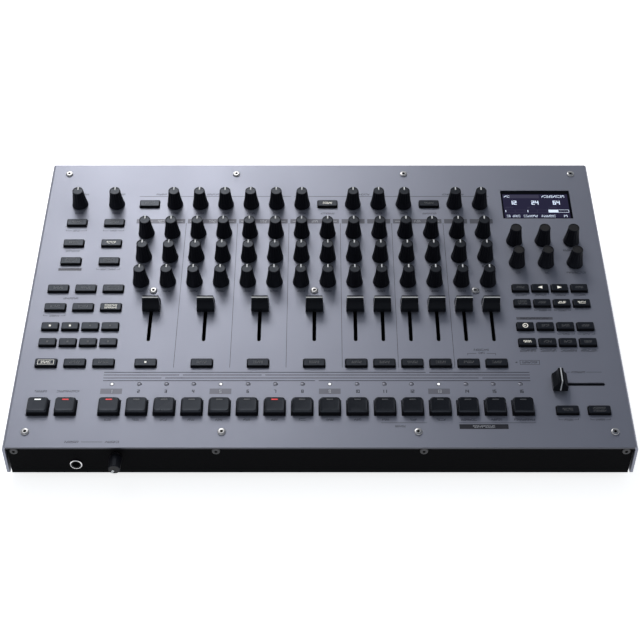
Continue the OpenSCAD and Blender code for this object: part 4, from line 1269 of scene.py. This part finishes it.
# Step keys: numbers, labels, and beside each unlit light an arc of painted shade, for the shadow in the gap
# round its lens
NUMBER_V = 53.5
NUMBER_H = 2.6
KEY_LABEL_V = 26.1
KEY_LABEL_W = {12: 7.2, 13: 13, 14: 8.4, 15: 17}
for i in range(STEPS):
    x = key_x(i)
    if is_beat(i):
        # The bar is print; its lighter grey is painted light
        bar(x, NUMBER_V, 17.2, 5.4, "light")
    else:
        # Painted shade: a dark arc at the unlit light's rim
        add_arc(prints["dark"], x, LIGHTS_V, PRINT_H["dark"], LIGHT_R + 0.15, LIGHT_R + 0.5, -35, 140)
    ink("pale" if is_beat(i) else "dark", number(i + 1, NUMBER_H), x, NUMBER_V)
    text(x, KEY_LABEL_V, KEY_LABEL_W.get(i, 6))
text(START_X, NUMBER_V, 9.8)
text(STOP_X, NUMBER_V, 18)

# Under the step keys: two lines that join keys, a word under one and a dark plate under the other
JOIN_V = 23.1
PLATE_X = 127.1
PLATE_V = 19.5
level_line(key_x(10) - 3.3, key_x(11) + 10.5, JOIN_V)
text(62.2, 19.8, 8)
level_line(key_x(13) - 7.7, key_x(15) + 8.6, JOIN_V)
bar(PLATE_X, PLATE_V, 38, 4.5, "dark")
text(PLATE_X, PLATE_V, 18, 2, "pale")

# Front edge: the words over the headphone socket and its volume knob
FRONT_WORD_V = 5.1
text(-190.8, FRONT_WORD_V, 11)
level_line(-183.6, -167.2, FRONT_WORD_V)
text(-159.7, FRONT_WORD_V, 11.6)

# Left block
for x in pair_x:
    bracket(x, 228.4, 18, 6)
text(pair_x[0], 204.3, 12)
bar(pair_x[0], 183, 20, 3)
text(pair_x[0], 183, 18.5, 2)
bracket(pair_x[1], 183, 20, 13)
text(LEFT_X - TRIPLE_PITCH / 2, 150.4, 13)
bracket(triple_x[0], 131.4, 18, 9)

# Right block
GREY_BAR_X = 177.6
GREY_BAR_V = 128.6
FRAMED_X = 169
FRAMED_V = 82.5
CROSS_LINE_V = 72.6
CROSS_WORD_X = 206.6
for x in right_x:
    text(x, 153.9, 9.9)
    text(x, 94.6, 12.5, 1.9)
for x in right_x[1:3]:
    bracket(x, 137.2, 14, 7)
for x in right_x[2:]:
    bracket(x, 111.8, 14, 6)
bar(GREY_BAR_X, GREY_BAR_V, 30, 2.8)
text(GREY_BAR_X, GREY_BAR_V, 24)
for x, v in encoder_places:
    text(x, v - TOP_LABEL_DROP, 16 if x > RIGHT_X + 10 else 4)
ink("dark", frame_boxes(15.9, 4.4), FRAMED_X, FRAMED_V)
text(FRAMED_X, FRAMED_V, 12)
add_triangle(prints["dark"], FRAMED_X - 11, FRAMED_V, PRINT_H["dark"], 0.9, -1)
level_line(196.9, 225.5, CROSS_LINE_V, [(CROSS_WORD_X, 13)])
text(CROSS_WORD_X, CROSS_LINE_V, 10.6)
for x in cross_button_x:
    bracket(x, CROSS_BUTTON_V - 8.4, 15.4, 7)

for kind, material in (("grey", INK), ("light", INK_PAINTED_LIGHTER), ("dark", INK_DARK_AND_SHADE), ("pale", INK_PALE)):
    place(f"print_{kind}", prints[kind], [material], "root", PANEL, flat=True)

# ---- The sheet's front edge: painted shade, darker than its upper face ----

EDGE_HALF = panel_high.x / MM
EDGE_OUT = 0.03


def front_edge():
    bm = bmesh.new()
    corners = ((-EDGE_HALF, -SHEET), (EDGE_HALF, -SHEET), (EDGE_HALF, 0), (-EDGE_HALF, 0))
    bm.faces.new([bm.verts.new((x, -EDGE_OUT, h)) for x, h in corners])
    # The strip's colour is painted shade on the edge
    place("front_edge", bm, [EDGE_SHADE], "root", PANEL, flat=True)


front_edge()

# ---- Display: plain values over three sliders, about the display's middle ----

SCREEN_UP = {"field": 0.02, "bar": 0.04, "lit": 0.06}
FIELD_BOX = (-29.4, -16.4, 28.8, 13)
TITLE_BOX = (-29, 8, 3.2, 12.2)
TITLE_V = 10.1
# (middle, value, right end of the slider's fill)
VALUES = ((-19.6, 12, -8.0), (0, 24, -8.0), (19.1, 64, -0.4))
VALUE_V = 2.4
NAME_V = -3.7
SLIDER_V = -8.1
FOOT_V = -14.2
FOOT_WORDS = ((-26, 3), (-19, 7), (-6.5, 13), (9.5, 13), (24.6, 4))
screens = {kind: bmesh.new() for kind in SCREEN_UP}


def show(kind, boxes, x=0, v=0):
    add_flat(screens[kind], boxes, DISPLAY_X + x, DISPLAY_V + v, WINDOW_H + SCREEN_UP[kind])


show("field", [FIELD_BOX])
show("bar", [TITLE_BOX])
show("lit", word("page", 5, 2), -25.6, TITLE_V)
show("lit", word("bank", 21, 2.4), 15.8, TITLE_V)
for k, (x, value, fill_end) in enumerate(VALUES):
    show("lit", number(value, 4), x - 1, VALUE_V)
    show("bar", word(f"name{k}", 7, 1.7), x - 5, NAME_V)
    show("lit" if k == 2 else "bar", frame_boxes(18.2, 3.4, 0.35), x, SLIDER_V)
    show("bar", [(-0.2, -1.7, 0.2, 1.7)], x, SLIDER_V)
    show("lit", [(-8.6, -1.3, fill_end, 1.3)], x, SLIDER_V)
for x, width in FOOT_WORDS:
    show("lit", word(f"foot{x}", width, 2.1), x, FOOT_V)
for kind, material in (("field", SCREEN), ("bar", SCREEN_BAR), ("lit", SCREEN_LIT)):
    place(f"screen_{kind}", screens[kind], [material], "root", PANEL, flat=True)

# ---- Rear: nickel nuts and collars round the sockets ----

BOTTOM_Z = 10.0
BOARD_LIFT = 13.4
BOARD_T = 1.6
MAIN_TOP = BOTTOM_Z + BOARD_LIFT + BOARD_T
JACKS = 12
JACKS_X = 22
JACK_PITCH = 22
JACK_UP = 9
SMALL_JACKS_X = (43, 53.5, 64, 74.5)
SMALL_JACK_UP = 5
ROUND_SOCKETS_X = (98, 120, 142)
ROUND_SOCKET_UP = 10
OVER = 0.06  # how far a nut stands over the node's own
COLLAR_EDGE = 0.25


def add_collar(bm, x, z, bore, outer, out, sides=RING_POINTS, start=0.0):
    """A ring or a nut that stands out of the rear wall round a bore."""
    n = RING_POINTS
    rings = [
        polygon(outer, start, sides, n),
        polygon(outer, out - COLLAR_EDGE, sides, n),
        polygon(outer - COLLAR_EDGE, out, sides, n),
        circle(bore, out, n),
        circle(bore, start, n),
    ]
    add_hoop(bm, rings, at=on_wall(x, REAR_WALL_Y, z, TO_REAR))


def rear_nuts():
    bm = bmesh.new()
    for x in (JACKS_X - i * JACK_PITCH for i in range(JACKS)):
        z = MAIN_TOP + JACK_UP
        add_collar(bm, x, z, 4.5, 7 + OVER, 2 + OVER, sides=6)
        add_collar(bm, x, z, 3.2, 4.5 + OVER, 3, start=2)
    for x in SMALL_JACKS_X:
        z = MAIN_TOP + SMALL_JACK_UP
        add_collar(bm, x, z, 3, 4 + OVER, 1.4 + OVER)
        add_collar(bm, x, z, 1.8, 3 + OVER, 2 + OVER, start=1.4)
    for x in ROUND_SOCKETS_X:
        add_collar(bm, x, MAIN_TOP + ROUND_SOCKET_UP, 6.7, 8 + OVER, 1 + OVER)
    place("rear_nuts", bm, [NICKEL], "root", Matrix.Identity(4))


rear_nuts()
